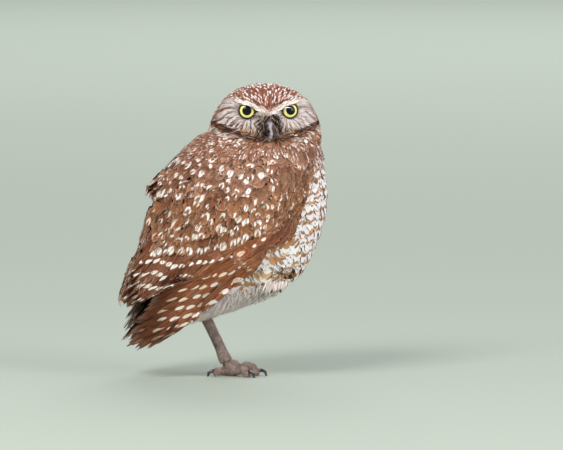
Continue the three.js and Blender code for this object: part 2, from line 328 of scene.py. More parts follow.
class Form:
    """A surface that feathers grow from and lie along."""

    def __init__(self, thing):
        points = vertices_of(thing)
        faces = [tuple(p.vertices) for p in thing.data.polygons]
        self.tree = BVHTree.FromPolygons([Vector(p) for p in points], faces)
        quads = np.array([f if len(f) == 4 else f + f[-1:] for f in faces])
        self.corners = np.stack([points[quads[:, i]] for i in range(4)], 1)
        a, b, c, d = self.corners.transpose(1, 0, 2)
        self.areas = np.linalg.norm(np.cross(c - a, d - b), axis=1) / 2
        self.smooth = unit(normals_of(thing)[quads].mean(1))

    def nearest(self, points):
        hits, faces = np.empty_like(points), np.empty(len(points), int)
        for n, point in enumerate(points):
            hits[n], _, faces[n], _ = self.tree.find_nearest(point)
        return hits, self.smooth[faces], faces

    def samples(self, count, rng):
        """Even random places on the surface, with their normals."""
        faces = rng.choice(len(self.areas), count, p=self.areas / self.areas.sum())
        s, t = rng.random((2, count, 1))
        c = self.corners[faces]
        places = (c[:, 0] * (1 - s) + c[:, 1] * s) * (1 - t) + (c[:, 3] * (1 - s) + c[:, 2] * s) * t
        return places, self.smooth[faces]

    def meet(self, starts, way):
        """Where lines from the starts first meet the surface, with its normals; the starts where they miss it."""
        hits, normals = np.array(starts, float), np.tile(-np.asarray(way, float), (len(starts), 1))
        for n, start in enumerate(starts):
            hit, _, face, _ = self.tree.ray_cast(Vector(start), Vector(way))
            if hit is not None:
                hits[n], normals[n] = hit, self.smooth[face]
        return hits, normals

    def from_side(self, x, z, side):
        """The Y at which a level line from the bird's right or left meets the surface; nan if it misses."""
        found = np.full(len(x), np.nan)
        for n in range(len(x)):
            hit = self.tree.ray_cast(Vector((x[n], MIDDLE_Y + side * BESIDE, z[n])), Vector((0, -side, 0)))
            if hit[0] is not None:
                found[n] = hit[0].y
        return found


AROUND = [(i, j, k) for i in (-1, 0, 1) for j in (-1, 0, 1) for k in (-1, 0, 1)]


def spread(form, gap, where, rng, tries):
    """Places on a form, no two nearer than the gap there. where(points, normals) is true in the tract."""
    points, normals = form.samples(tries, rng)
    points = points[where(points, normals)]
    gaps = gap(points) if callable(gap) else np.full(len(points), gap)
    cells, kept = {}, []
    keys = np.floor(points / gaps.max()).astype(int).tolist()
    places = points.tolist()
    for n, ((i, j, k), room) in enumerate(zip(keys, gaps.tolist())):
        near = (m for di, dj, dk in AROUND for m in cells.get((i + di, j + dj, k + dk), ()))
        if all(math.dist(places[n], places[m]) >= room for m in near):
            cells.setdefault((i, j, k), []).append(n)
            kept.append(n)
    return points[kept]


# The head's own directions
right_eye, left_eye = (np.add(*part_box(node)) / 2 / MM for node in ("eye_right", "eye_left"))
EYE_RADIUS = 8.2
TO_LEFT = unit(left_eye - right_eye)  # across the face, towards the bird's left
FORWARD = np.array([TO_LEFT[1], -TO_LEFT[0], 0.0])
HEAD_MIDDLE = (right_eye + left_eye) / 2 - FORWARD * 16.3 - np.array([0, 0, 4.7])


def to_head(points):
    """Across to the bird's left, up from the head's middle, and forward."""
    rel = points - HEAD_MIDDLE
    return rel @ TO_LEFT, rel[:, 2], rel @ FORWARD


def head_way(across, up, forward):
    """The head's directions as ways in the frame."""
    across, up, forward = (part[..., None] for part in np.broadcast_arrays(across, up, forward))
    return across * TO_LEFT + up * UP + forward * FORWARD


FLOW_FROM = np.array([39.6, 0, 227.0])


def from_flow(points):
    """How far places lie from where the body's lie starts, seen from the side."""
    return np.hypot(points[:, 0] - FLOW_FROM[0], points[:, 2] - FLOW_FROM[2])


def flow(points):
    """The coat's lie: on the body away from over the breast, down and towards the tail."""
    way = points - FLOW_FROM
    way[:, 1] = 0
    return unit(blend(step(points[:, 2], 172, 182), unit(way), head_flow(points)))


# Vanes
BAKE_NAME = "OFBake"
PATCH = 0.003  # a tuft's patch on the baking map
PATCH_HOLDS = 1.5  # the widest vane that one patch holds; a wider vane has a wider patch
# half width along a vane, as shares of its widest
SHAPES = {
    "round": lambda t: np.clip(0.3 + 1.4 * t, 0, 1) * (1 - 0.15 * np.clip((t - 0.6) / 0.4, 0, 1) ** 2),
    "blade": lambda t: np.clip(0.3 + t * 6, 0, 1) * (1 - 0.45 * np.clip((t - 0.7) / 0.3, 0, 1) ** 1.5),
    "strand": lambda t: np.clip(0.55 + 1.5 * t, 0, 1) * (1 - t) ** 0.7 + 0.06,
}
# how far the tip's edges stay behind its middle, in half widths
TIPS = {"round": 0.95, "blade": 1.7, "strand": 0.0}
DEEPEST_NOTCH = 0.14


def colour_vertices(mesh, name, values):
    """A colour attribute of a mesh; a missing fourth value is 1."""
    made = mesh.attributes.new(name, "FLOAT_COLOR", "POINT")
    values = np.pad(values, ((0, 0), (0, 4 - values.shape[1])), constant_values=1)
    made.data.foreach_set("color", values.astype(np.float32).ravel())


def mesh_from(name, points, normals, corners, sizes, per_vertex, uvs):
    me = bpy.data.meshes.new(name)
    me.vertices.add(len(points))
    me.vertices.foreach_set("co", (points * MM).astype(np.float32).ravel())
    me.loops.add(len(corners))
    me.loops.foreach_set("vertex_index", corners.astype(np.int32))
    me.polygons.add(len(sizes))
    starts = np.concatenate([[0], np.cumsum(sizes)[:-1]]).astype(np.int32)
    me.polygons.foreach_set("loop_start", starts)
    me.update(calc_edges=True)
    me.shade_smooth()
    for layer, values in uvs.items():
        uv = me.uv_layers.new(name=layer)
        uv.data.foreach_set("uv", values[corners].astype(np.float32).ravel())
    for attribute, values in per_vertex.items():
        colour_vertices(me, attribute, values)
    me.normals_split_custom_set_from_vertices(normals.tolist())
    thing = bpy.data.objects.new(name, me)
    scene.collection.objects.link(thing)
    return thing


def along_form(way, up):
    """A way laid flat on the form."""
    return unit(way - up * (way * up).sum(1, keepdims=True))


def midlines(form, roots, lengths, shares, rng, sway=0.12, hold=0.6, way=flow):
    """Feather midlines that leave their roots along the flow and follow the form."""
    place, up, _ = form.nearest(roots)
    ahead = along_form(way(place), up)
    turn = rng.normal(0, sway, (len(roots), 1))
    ahead = unit(ahead + np.cross(up, ahead) * turn)
    lines, ups = [place], [up]
    for before, after in zip(shares[:-1], shares[1:]):
        place = place + ahead * ((after - before) * lengths)[:, None]
        place, up, _ = form.nearest(place)
        want = along_form(way(place), up) + np.cross(up, ahead) * turn
        ahead = along_form(ahead * hold + want * (1 - hold), up)
        lines.append(place)
        ups.append(up)
    return np.stack(lines, 1), np.stack(ups, 1)


def sink(lines, ups, shares, depths, rng, jitter=0.1):
    """Lower each midline under the form: depths are (share, depth) pairs."""
    at, depth = zip(*depths)
    level = np.interp(shares, at, depth)[None, :, None] + rng.normal(0, jitter, (len(lines), 1, 1))
    return lines - ups * level


def grown(form, gap, where, tries, length, vary, shares, depths, rng, sway=0.12, hold=0.6, jitter=0.1, way=flow):
    """The roots of a tract's feathers, spread over a form, and their midlines, sunk under it."""
    roots = spread(form, gap, where, rng, tries)
    lengths = (length(roots) if callable(length) else length) * (1 + rng.normal(0, vary, len(roots)))
    lines, ups = midlines(form, roots, lengths, shares, rng, sway, hold, way)
    return roots, sink(lines, ups, shares, depths, rng, jitter), ups


def lift(lines, ups, heights):
    """Raise midlines from the form by a height at each of their places."""
    return lines + ups * heights[..., None]


def vanes(name, lines, ups, shares, half, shape, rng, look, columns=7, thick=0.1, camber=0.06, ragged=0.06,
          roll=0.0, uneven=(1.0, 1.0), soft=0.75, bake_cells=None, slot="brown_plumage"):
    """A joined mesh of thin closed vanes on given midlines, half being each vane's half width.

    look holds ground, mark, strength, spot (centre, half length, half width, wedge), bars (strength, middle,
    half width, share of the gap) with their count and period along, jitter, fringe, shaft, streak and tip.
    """
    count, stations = lines.shape[:2]
    shares = np.asarray(shares, float)
    half = np.broadcast_to(half, (count,)).astype(float)
    along = unit(np.gradient(lines, axis=1))
    right = unit(np.cross(along, ups))
    up = np.cross(right, along)
    roll = np.broadcast_to(roll, (count,))[:, None, None]
    right, up = right * np.cos(roll) + up * np.sin(roll), up * np.cos(roll) - right * np.sin(roll)
    length = np.linalg.norm(np.diff(lines, axis=1), axis=2).sum(1)

    # a ring of places round the vane, first over its upper side and back under it
    top = np.linspace(-1, 1, columns)
    ring = np.concatenate([top, top[-2:0:-1]])
    over = np.concatenate([np.ones(columns), -np.ones(columns - 2)])
    width = SHAPES[shape](shares)[None, :, None] * half[:, None, None]
    reach = np.where(ring < 0, *uneven)[None, None]
    notch = np.minimum(np.abs(rng.normal(0, ragged, (count, 1, columns))), DEEPEST_NOTCH)
    notch = np.concatenate([notch, notch[:, :, -2:0:-1]], 2)
    back = notch * length[:, None, None] * (shares ** 3)[None, :, None]
    late = np.clip((shares - 0.3) / 0.7, 0, 1)[None, :, None] ** 1.5
    back = back + TIPS[shape] * half[:, None, None] * late * np.abs(ring) ** 2.2
    wave = rng.normal(0, ragged * 1.2, (count, stations, 2))
    edge = np.where(ring[None, None] < 0, wave[:, :, :1], wave[:, :, 1:]) * (np.abs(ring) > 0.9)
    lean = ring[None, None] * width * reach * (1 + edge)
    rise = over * (1 - ring ** 2) * thick / 2 - camber * ring ** 2 * width
    points = lines[:, :, None] + right[:, :, None] * lean[..., None] + up[:, :, None] * rise[..., None]
    points = points - along[:, :, None] * back[..., None]
    tilt = up[:, :, None] + right[:, :, None] * (ring * camber * 2)[:, None]
    normals = unit(ups[:, :, None] * soft + tilt * (1 - soft)) * np.where(over > 0, 1, -1)[:, None]

    # faces between the rings, and narrow ones between upper and under side that close each end
    size = len(ring)
    i, j = np.arange(stations - 1)[:, None], np.arange(size)[None]
    a, b = i * size + j, i * size + (j + 1) % size
    quads = np.stack([a, b, b + size, a + size], -1).reshape(-1)
    last = (stations - 1) * size
    k = np.arange(1, columns - 2)
    cap = np.stack([k, k + 1, size - k - 1, size - k], -1).reshape(-1)
    sides = np.array([0, 1, size - 1, columns - 2, columns - 1, columns])
    one = np.concatenate([quads, cap[::-1], sides[::-1], last + cap, last + sides])
    sizes = np.concatenate([np.full((stations - 1) * size + len(k), 4), [3, 3], np.full(len(k), 4), [3, 3]])
    each = stations * size
    corners = (one[None] + (np.arange(count) * each)[:, None]).reshape(-1)

    def column(value, width=1):
        """One row of numbers for each vane."""
        value = np.asarray(value, float)
        return np.broadcast_to(value[:, None] if width == 1 and value.ndim == 1 else value, (count, width))

    def layer(*parts):
        return np.repeat(np.concatenate(parts, 1), each, 0)

    luck = rng.random((count, 1))
    bars = column(look.get("bars", (0.0, 0.0, 9.0, 0.5)), 4)
    phase = np.zeros((count * each, 1))
    if "count" in look:
        strip = lines + right * (bars[:, 1] * half)[:, None, None]
        number = look["count"](strip.reshape(-1, 3)).reshape(count, stations)
        if "period" in look:
            # marks keep one length, however slantwise their row crosses the vane
            slope = np.abs(np.gradient(number, axis=1)) / (length[:, None] * np.gradient(shares))
            near = np.round(number)
            number = near + np.clip((number - near) / (np.maximum(slope, 1e-4) * look["period"]), -0.5, 0.5)
        number = number + rng.normal(0, look.get("jitter", 0.08), (count, 1))
        phase[:, 0] = np.repeat(number.reshape(-1), size)
    per_vertex = {
        "Ground": layer(column(look["ground"], 3), column(look.get("tip", 0.0))),
        "Mark": layer(column(look.get("mark", WHITE), 3), column(look.get("strength", 0.0))),
        "Spot": layer(column(look.get("spot", (0.85, 0.1, 0.4, 0.0)), 4)),
        "Bars": np.concatenate([phase, layer(bars[:, :3])], 1),
        "Line": layer(column(look.get("fringe", 0.2)), column(look.get("shaft", 0.4)), bars[:, 3:], luck),
        "Scale": layer(length[:, None], half[:, None], luck * 10, column(look.get("streak", 1.0))),
    }
    vane = np.empty((count, stations, size, 2))
    vane[..., 0] = (ring * 0.5 + 0.5)[None, None]
    vane[..., 1] = shares[None, :, None]
    if bake_cells:
        # long feathers stand side by side on their own sheet
        cell = np.array([1 / bake_cells, 1 / -(-count // bake_cells)])
        corner = np.stack([np.arange(count) % bake_cells, np.arange(count) // bake_cells], 1) * cell
        bake = corner[:, None, None] + (vane * 0.92 + 0.04) * cell
    else:
        # each tuft's patch lies at its root's place on the unwrap of the body
        spots = patch_middles[unwrap_form.nearest(lines[:, 0])[2]]
        patch = PATCH * np.maximum(1, half * 2 / PATCH_HOLDS)[:, None, None, None]
        bake = np.clip(spots[:, None, None] + (vane - 0.5) * patch, 0, 1)
    uvs = {"Vane": vane.reshape(-1, 2), BAKE_NAME: bake.reshape(-1, 2)}
    sizes = np.tile(sizes, count)
    thing = mesh_from(name, points.reshape(-1, 3), normals.reshape(-1, 3), corners, sizes, per_vertex, uvs)
    COATS.get(slot, COATS["brown_plumage"]).put_on(thing)
    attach(thing, "root")
    return thing


def tufts(name, lines, ups, shares, half, colour, rng, streak=0.3, thick=0.16, ragged=0.02, **more):
    """A joined mesh of plumes or bristles, each of one colour."""
    look = dict(ground=colour, fringe=0.0, shaft=0.0, streak=streak)
    vanes(name, lines, ups, shares, half, "strand", rng, look, columns=3, thick=thick, ragged=ragged, **more)


def pick(look, part):
    """The same look for some of the feathers."""
    each = [key for key, value in look.items() if isinstance(value, np.ndarray) and len(value) == len(part)]
    return {**look, **{key: look[key][part] for key in each}}


# The finishes of plumage, skin, horn and eyes
WHITE = rgb(250, 246, 244)
CREAM = rgb(240, 228, 216)
SOOT = rgb(58, 38, 30)


def coat_finish(name, lean, fine, shadow, blur=0.25, rust=0.7):
    """The look of a vane: ground colour, barb streaks, shaft, pale spot or cross bars, and fringe.

    Barbs slant from the shaft towards the tip: lean is their rise along the vane and fine their number across it.
    shadow is how much darker a vane is under the tips that lie over it, blur how soft its bars' edges are,
    and rust how much redder its patches are.
    """
    finish = Finish(name)
    across, along, _ = finish.node("ShaderNodeUVMap", {"uv_map": "Vane"}).parts()
    signed = across * 2 - 1
    side = abs(signed)
    ground, dark_tip = finish.attribute("Ground")
    mark, strength = finish.attribute("Mark")
    spot_sizes, split = finish.attribute("Spot")
    centre, half_long, half_wide = spot_sizes.parts()
    bar_sizes, bar_wide = finish.attribute("Bars")
    phase, bar_strength, bar_middle = bar_sizes.parts()
    lines, luck = finish.attribute("Line")
    fringe, shaft, bar_gap = lines.parts()
    sizes, streaky = finish.attribute("Scale")
    length, half, seed = sizes.parts()
    slant = along * length * lean - side * half * fine
    strand = finish.vector(slant, side * half * 0.25, seed * 7.0 + signed.step(-0.01, 0.01) * 3.1)
    barb = finish.noise(strand, 1.0, 3.0, 0.7)
    patchy = finish.noise(finish.vector(along * length * 0.3, across * half * 0.5, seed * 5.0), 1.0)
    colour = finish.mix(patchy.step(0.42, 0.62) * rust, ground, finish.stretch(ground, (1.08, 0.8, 0.54)))
    pale = finish.mix(0.5, ground, rgb(226, 200, 184))
    colour = finish.mix(barb.step(0.5, 0.68) * streaky * 0.5, colour, pale)
    colour = finish.shade(colour, 1 - barb.step(0.54, 0.36) * streaky * 0.55 + (patchy - 0.5) * 0.6)
    shaft_line = side.step(0.1, 0.03) * shaft * along.step(1.0, 0.9)
    colour = finish.mix(shaft_line * 0.6, colour, finish.shade(ground, 0.4))
    colour = finish.mix(along.step(0.6, 0.88) * dark_tip, colour, finish.shade(ground, 0.24))
    rim_place = side.step(0.7, 1.0).most(along.step(0.9, 0.99)) * barb.step(0.4, 0.55) * fringe
    colour = finish.mix(rim_place, colour, rgb(232, 208, 190))
    wobble = (barb - 0.5) * 0.9
    # cross bars; where bar_wide is small they are round marks on one side of the shaft
    wave = abs((phase + wobble * 0.1 + side * side * half * 0.03).math("FRACT") * 2 - 1)
    reach = ((1 - wave) / (1 - bar_gap)) ** 2 + ((signed - bar_middle) / bar_wide) ** 2
    bar = (reach + wobble * 0.35).step(1 + blur, 1 - blur) * bar_strength * (1 - along.step(0.7, 0.9) * dark_tip)
    colour = finish.mix(bar, colour, finish.shade(mark, 0.86 + barb * 0.26))
    # pale spot, wider towards the tip, with a wedge of ground along the shaft that opens at the tip
    at = (along - centre) / half_long
    oval = at ** 2 + (side / half_wide * (1.15 - at * 0.35)) ** 2 + wobble
    opening = (at + 0.35).most(0.0)
    wedge = (side - split * opening).step(0.0, 0.06).most(opening.step(0.1, 0.0))
    spot = oval.step(1.15, 0.8) * wedge * (1 - at.step(0.2, -1.0) * luck * 0.6) * strength
    colour = finish.mix(spot, colour, finish.shade(mark, 0.88 + barb * 0.24))
    colour = finish.shade(colour, 1 - along.step(0.84, 0.5) * shadow)
    return finish.surface(colour, 0.8, {"Specular IOR Level": 0.15}, barb, 0.00012)


def skin_finish():
    """The skin under the coat: the coat's own ground colours, with its bars and pale flecks."""
    finish = Finish("feathered_skin")
    place = finish.place()
    flecks = finish.node("ShaderNodeTexVoronoi", inputs={"Vector": place, "Scale": 130.0, "Randomness": 0.8})
    down = finish.noise(place, 900.0, 3.0, 0.6)
    phase, bar_strength, fleck_strength = finish.attribute("Bars")[0].parts()
    wave = abs((phase + down * 0.3).math("FRACT") * 2 - 1)
    colour = finish.shade(finish.attribute("Ground")[0], 0.6 + down * 0.4)
    colour = finish.mix(flecks.step(0.32, 0.2) * fleck_strength, colour, CREAM)
    colour = finish.mix(wave.step(0.35, 0.6) * bar_strength, colour, CREAM)
    return finish.surface(colour, 0.85, {"Specular IOR Level": 0.1}, down)


def leg_finish():
    """Scaly grey-pink skin of shank and toes, with paler pads."""
    finish = Finish("leg_scales")
    place = finish.place()
    cells = finish.node("ShaderNodeTexVoronoi", {"feature": "DISTANCE_TO_EDGE"}, {"Vector": place, "Scale": 950.0})
    grain = finish.noise(place, 700.0, 4.0, 0.6)
    blotch = finish.noise(place, 190.0)
    height = place.parts()[2]
    colour = finish.mix(blotch.step(0.35, 0.65), rgb(142, 120, 114), rgb(186, 164, 156))
    colour = finish.mix(height.step(0.0025, 0.0005) * 0.7, colour, rgb(198, 146, 122))
    colour = finish.shade(colour, 0.66 + grain * 0.6)
    colour = finish.mix(cells.step(0.14, 0.02) * 0.8, colour, rgb(96, 76, 70))
    return finish.surface(colour, 0.6, {"Specular IOR Level": 0.35}, cells.step(0.0, 0.25) + grain * 0.5)


def lid_finish():
    """Black bare rim round the eye, turning to the face's grey-brown further out."""
    finish = Finish("lid_skin")
    grain = finish.noise(finish.place(), 1500.0, 3.0)
    colour = finish.shade(finish.attribute("Ground")[0], 0.6 + grain * 0.8)
    return finish.surface(colour, 0.5, {"Specular IOR Level": 0.3}, grain, 0.0001)


def claw_finish():
    """Black claw horn with fine streaks that run down it."""
    finish = Finish("claw_horn")
    place = finish.place()
    streak = finish.noise(finish.stretch(place, (1800, 1800, 500)), 1.0, 3.0, 0.6)
    cloud = finish.noise(place, 260.0)
    colour = finish.mix((streak * 0.6 + cloud * 0.4).step(0.3, 0.68), rgb(18, 16, 18), rgb(58, 50, 50))
    gloss = {"Specular IOR Level": 0.5, "Coat Weight": 0.25}
    return finish.surface(colour, streak * 0.25 + 0.22, gloss, streak, 0.00006)


def bill_finish():
    """Pale blue-grey ridge, partly a painted highlight along its top, between dark sides, with a dark tip and a
    dark cere at the root.
    """
    finish = Finish("bill_horn")
    place = finish.place()
    away = finish.vector_math("SUBTRACT", {0: place, 1: tuple(HEAD_MIDDLE * MM)})
    across = abs(finish.vector_math("DOT_PRODUCT", {0: away, 1: tuple(TO_LEFT)}, output=1)) * 1000
    rise = away.parts()[2] * 1000
    streak = finish.noise(finish.stretch(place, (1900, 1900, 240)), 1.0, 3.0, 0.6)
    cloud = finish.noise(place, 420.0)
    # a pale middle between darker sides: the pale ridge is partly a painted highlight
    colour = finish.mix(streak.step(0.3, 0.7), rgb(126, 120, 130), rgb(196, 192, 202))
    colour = finish.mix((across + (cloud - 0.5) * 1.2).step(1.5, 2.7), colour, rgb(60, 46, 48))
    colour = finish.mix((rise + (cloud - 0.5) * 2).step(-12.5, -15.5) * 0.8, colour, rgb(70, 60, 66))
    colour = finish.mix((rise + (cloud - 0.5) * 3).step(-3.6, -1.2), colour, rgb(74, 60, 62))
    gloss = {"Specular IOR Level": 0.5, "Coat Weight": 0.2}
    return finish.surface(colour, streak * 0.25 + 0.25, gloss, streak, 0.00005)


def eye_finish(name, centre, gaze):
    """Yellow iris with fine rings round a black pupil whose faint blue is a painted reflection, under a wet coat.
    """
    finish = Finish(name)
    rel = finish.vector_math("SUBTRACT", {0: finish.place(), 1: tuple(centre * MM)})
    rel = finish.vector_math("NORMALIZE", {0: rel})
    facing = finish.vector_math("DOT_PRODUCT", {0: rel, 1: tuple(gaze)}, output=1)
    angle = facing.math("ARCCOSINE") * (180 / math.pi)
    grain = finish.noise(finish.stretch(rel, (9, 9, 9)), 3.0, 4.0, 0.65)
    ring = (angle * 0.9 + grain * 5.0).math("SINE") * 0.5 + 0.5
    iris = finish.mix(ring * 0.5 + grain * 0.3, rgb(250, 240, 92), rgb(255, 255, 196))
    iris = finish.mix(angle.step(36, 47) * 0.5, iris, rgb(176, 156, 30))
    iris = finish.mix(angle.step(27, 23.5), iris, rgb(120, 105, 20))
    # the pupil's faint blue is a painted reflection
    colour = finish.mix(angle.step(24.6, 23.0), iris, rgb(8, 8, 24))
    colour = finish.mix(angle.step(50, 54), colour, rgb(30, 22, 20))
    return finish.surface(colour, 0.3, {"Coat Roughness": 0.05, "Specular IOR Level": 0.0, "Coat Weight": 0.45})


COATS = {
    "brown_plumage": coat_finish("coat_vanes", 1.9, 1.5, 0.34),
    "flight_feathers": coat_finish("flight_vanes", 0.28, 2.6, 0.0),
    "pale_plumage": coat_finish("pale_vanes", 1.6, 1.2, 0.06, 0.4, 0.4),
    "crown_plumage": coat_finish("head_vanes", 1.9, 1.5, 0.1),
}
set_stage()

# The forms of this bird
FLESH = ["head", "neck", "trunk", "leg_left_thigh", "leg_right", "wing_right_coverts", "wing_left_coverts"]
WING_PARTS = {"secondary": "secondaries", "primary": "primaries"}
WINGS = [f"wing_{side}_{part}" for side in SIDES for part in WING_PARTS.values()]
FOOT = ["leg_left_shank", "foot_left_sole"] + [f"toe_left_{toe}" for toe in ("middle", "inner", "outer", "hallux")]

outline = fused("outline_form", FLESH + WINGS, 0.0, 1.5, 8)
outer = Form(outline)
flesh_form = fused("flesh_form", FLESH, 0.0, 1.5, 8)
inner = Form(flesh_form)
face_form = fused("face_form", ["head", "neck", "eye_right", "eye_left"], 0.0, 0.9, 4)
face = Form(face_form)
unwrapped = fused("unwrap_form", FLESH, 0.0, 3.5, 6)
edit_whole(lambda: bpy.ops.uv.smart_project(angle_limit=1.15, island_margin=0.01))
flat_places = np.empty(len(unwrapped.data.loops) * 2, np.float32)
unwrapped.data.uv_layers.active.data.foreach_get("uv", flat_places)
flat_places = flat_places.reshape(-1, 2)
unwrap_form = Form(unwrapped)
patch_middles = np.array([flat_places[list(p.loop_indices)].mean(0) for p in unwrapped.data.polygons])

# Eyes and the openings of their lids: degrees from the bill's side, going over the top, and reach in millimetres
LID_DEGREES = (-45, 0, 29, 60, 90, 110, 141, 180, 225, 270, 315, 360)
LID_REACH = (5.4, 5.4, 4.2, 3.5, 3.5, 3.9, 5.4, 5.5, 5.3, 5.3, 5.4, 5.4)


class Eye:
    """An eye's middle, the way it looks, and the directions of its lids' opening."""

    def __init__(self, side_name, middle, x, z):
        self.name, self.middle = side_name, middle
        self.gaze = np.array([x, -math.sqrt(1 - x * x - z * z), z])
        across = unit(np.cross(self.gaze, UP))
        self.to_bill = across * np.sign((HEAD_MIDDLE - middle) @ across)
        self.up = np.cross(across, self.gaze)
        self.up = self.up * np.sign(self.up[2])

    def opening(self, turn):
        return np.interp((np.degrees(turn) + 45) % 360 - 45, LID_DEGREES, LID_REACH)

    def beyond(self, points):
        """How far points lie outside the lids' opening, seen along the gaze."""
        rel = points - self.middle
        across, rise = rel @ self.to_bill, rel @ self.up
        gap = np.hypot(across, rise) - self.opening(np.arctan2(rise, across))
        return np.where(rel @ self.gaze > -4, gap, 99)


EYES = [Eye("right", right_eye, 0.0, 0.12), Eye("left", left_eye, 0.305, 0.12)]


def off_eyes(points, room):
    return np.all([eye.beyond(points) > room for eye in EYES], axis=0)


# Head plumage: heights of the facial rim and the brow at distances from the face's middle
RIM_AT, RIM_UP = (0, 10, 18, 27, 36, 42), (-16.8, -14, -11, -8.8, -5.2, -1)
BROW_AT, BROW_UP = (0, 6.3, 12.7, 20, 31), (4.2, 6.4, 9.6, 11.2, 12.4)
BEFORE_FACE = 60.0  # a place in front of the whole face
FIVE = [0, 0.3, 0.6, 0.85, 1.0]


def face_zones(s, u, f):
    """How much each place of the face belongs to its zones."""
    a = np.abs(s)
    front = step(f, 3, 12)
    brow_up, wide = np.interp(a, BROW_AT, BROW_UP), np.interp(a, (0, 8, 14, 22), (0.9, 1.3, 1.5, 1.1))
    brow = step(np.abs(u - brow_up), wide + 0.5, wide - 0.5) * step(a, 24, 20) * front
    temple = step(a, 18, 22) * step(np.abs(u - 11), 4, 2) * front * 0.7
    crown = step(u, brow_up + wide, brow_up + wide + 0.8)
    rim_up = np.interp(a, RIM_AT, RIM_UP)
    thick = 1.7 + 1.3 * step(a, 13, 23)
    return dict(
        front=front,
        eye_gap=np.hypot(a - 15.8, u - 5.6),
        brow=np.maximum(brow, temple),
        crown=crown,
        cheek=front * step(u, rim_up - 0.4, rim_up + 0.6) * (1 - crown),
        lores=step(a, 6.2 - 0.55 * u, 3.6 - 0.45 * u) * step(u, 2.5, 0) * step(u, -15, -12) * front,
        rim=step(np.abs(u - rim_up + 1.2), thick + 1.2, thick - 0.6) * step(f, -4, 6),
        rim_up=rim_up,
        collar=step(np.abs(u - rim_up + 6.6), 4.2, 2.2) * step(a, 15, 20) * step(f, -12, 0),
    )


def head_flow(points):
    """The lie of the head's feathers: up and out from the bill, round each eye, and along the rim."""
    s, u, f = to_head(points)
    near = np.where(s > 0, 1.0, -1.0)
    from_bill = np.stack([s * 1.1, u + 1, f - 30], 1)
    from_bill[:, 1] -= 42 * step(-f, 2, 30) + 16 * step(np.abs(s), 24, 40) * step(u, 22, 8)
    zones = face_zones(s, u, f)
    over_rim = u - zones["rim_up"]
    round_eye = unit(np.stack([(s - near * 15.6) * 1.25, u - 6.6, 0 * s - 5], 1))
    on_face = step(f, 4, 12) * (1 - zones["crown"]) * step(np.abs(s), 3, 8)
    way = blend(on_face, unit(from_bill), round_eye)
    along_rim = unit(np.stack([near, 0.22 + 0 * s, 0 * s - 0.5], 1))
    low = step(over_rim, 6.5, 1.0) * step(f, -6, 6) * step(np.abs(s), 1.5, 9) * step(over_rim, -5, -2)
    return head_way(*blend(low * 0.9, way, along_rim).T)


def head_colour(points, rng):
    """Ground colours of the head's feathers, and the zones of their places."""
    s, u, f = to_head(points)
    z = face_zones(s, u, f)
    luck, other = rng.random(len(points)), rng.random(len(points))
    a = np.abs(s)
    crown = tones(luck, (116, 66, 50), (170, 112, 88))
    colour = blend(step(u, -3, -13), crown, tones(luck, (146, 96, 72), (190, 144, 122)))
    # fine streaks that radiate from the eyes, pale ones and brown ones
    turn = np.arctan2(u - 5.6, a - 15.8)
    streaks = 0.5 + 0.5 * np.sin(turn * 23 + 2.5 * np.sin(z["eye_gap"] * 0.4) + other * 1.2)
    tuft = 0.5 + 0.5 * np.sin(turn * 37 + z["eye_gap"] * 1.1 + 2)
    pale = tones(luck * 0.4 + tuft * 0.6, (216, 200, 206), (255, 254, 255))
    brown = tones(luck, (84, 50, 42), (146, 104, 92))
    darker = 0.6 + 0.3 * step(-s, 5, 12) + 0.3 * step(-u, -2, 8)
    streaky = step(streaks, 0.6, 0.95) * (0.3 + 0.7 * step(z["eye_gap"], 7, 13)) * darker
    cheek = blend(np.clip(streaky, 0, 1), pale, brown)
    cheek = blend(step(z["eye_gap"], 10, 6.5) * 0.35, cheek, rgb(150, 132, 130))
    corner = step(np.abs(u - 7.4 - 0.2 * (a - 24)), 1.4, 0.6) * step(a, 22.5, 24) * step(a, 31, 27)
    cheek = blend(corner * 0.8, cheek, rgb(96, 66, 62))
    low = step(u - z["rim_up"], 6.0, 2.5) * step(a, 26, 16)
    cheek = blend(low * 0.9, cheek, tones(step(luck, 0.4, 0.6), (60, 38, 30), (222, 184, 148)))
    colour = blend(z["cheek"], colour, cheek)
    colour = blend(step(a, 32, 38) * step(other, 0.25, 0.5) * z["front"] * 0.8, colour, rgb(150, 96, 70))
    lores = tones(luck ** 3.5, (46, 30, 29), (160, 130, 118))
    colour = blend(z["lores"] * step(other, 0.05, 0.25), colour, lores)
    brow = tones(step(a, 3, 8), (214, 180, 164), (252, 248, 250))
    colour = blend(z["brow"] * (0.55 + 0.45 * luck), colour, brow)
    rim = blend(step(luck, 0.75, 0.95), SOOT, rgb(138, 86, 60))
    colour = blend(z["rim"] * step(other, 0.04, 0.2), colour, rim)
    collar = blend(luck, rgb(220, 204, 196), WHITE)
    return blend(z["collar"] * step(other, 0.3, 0.45), colour, collar), z


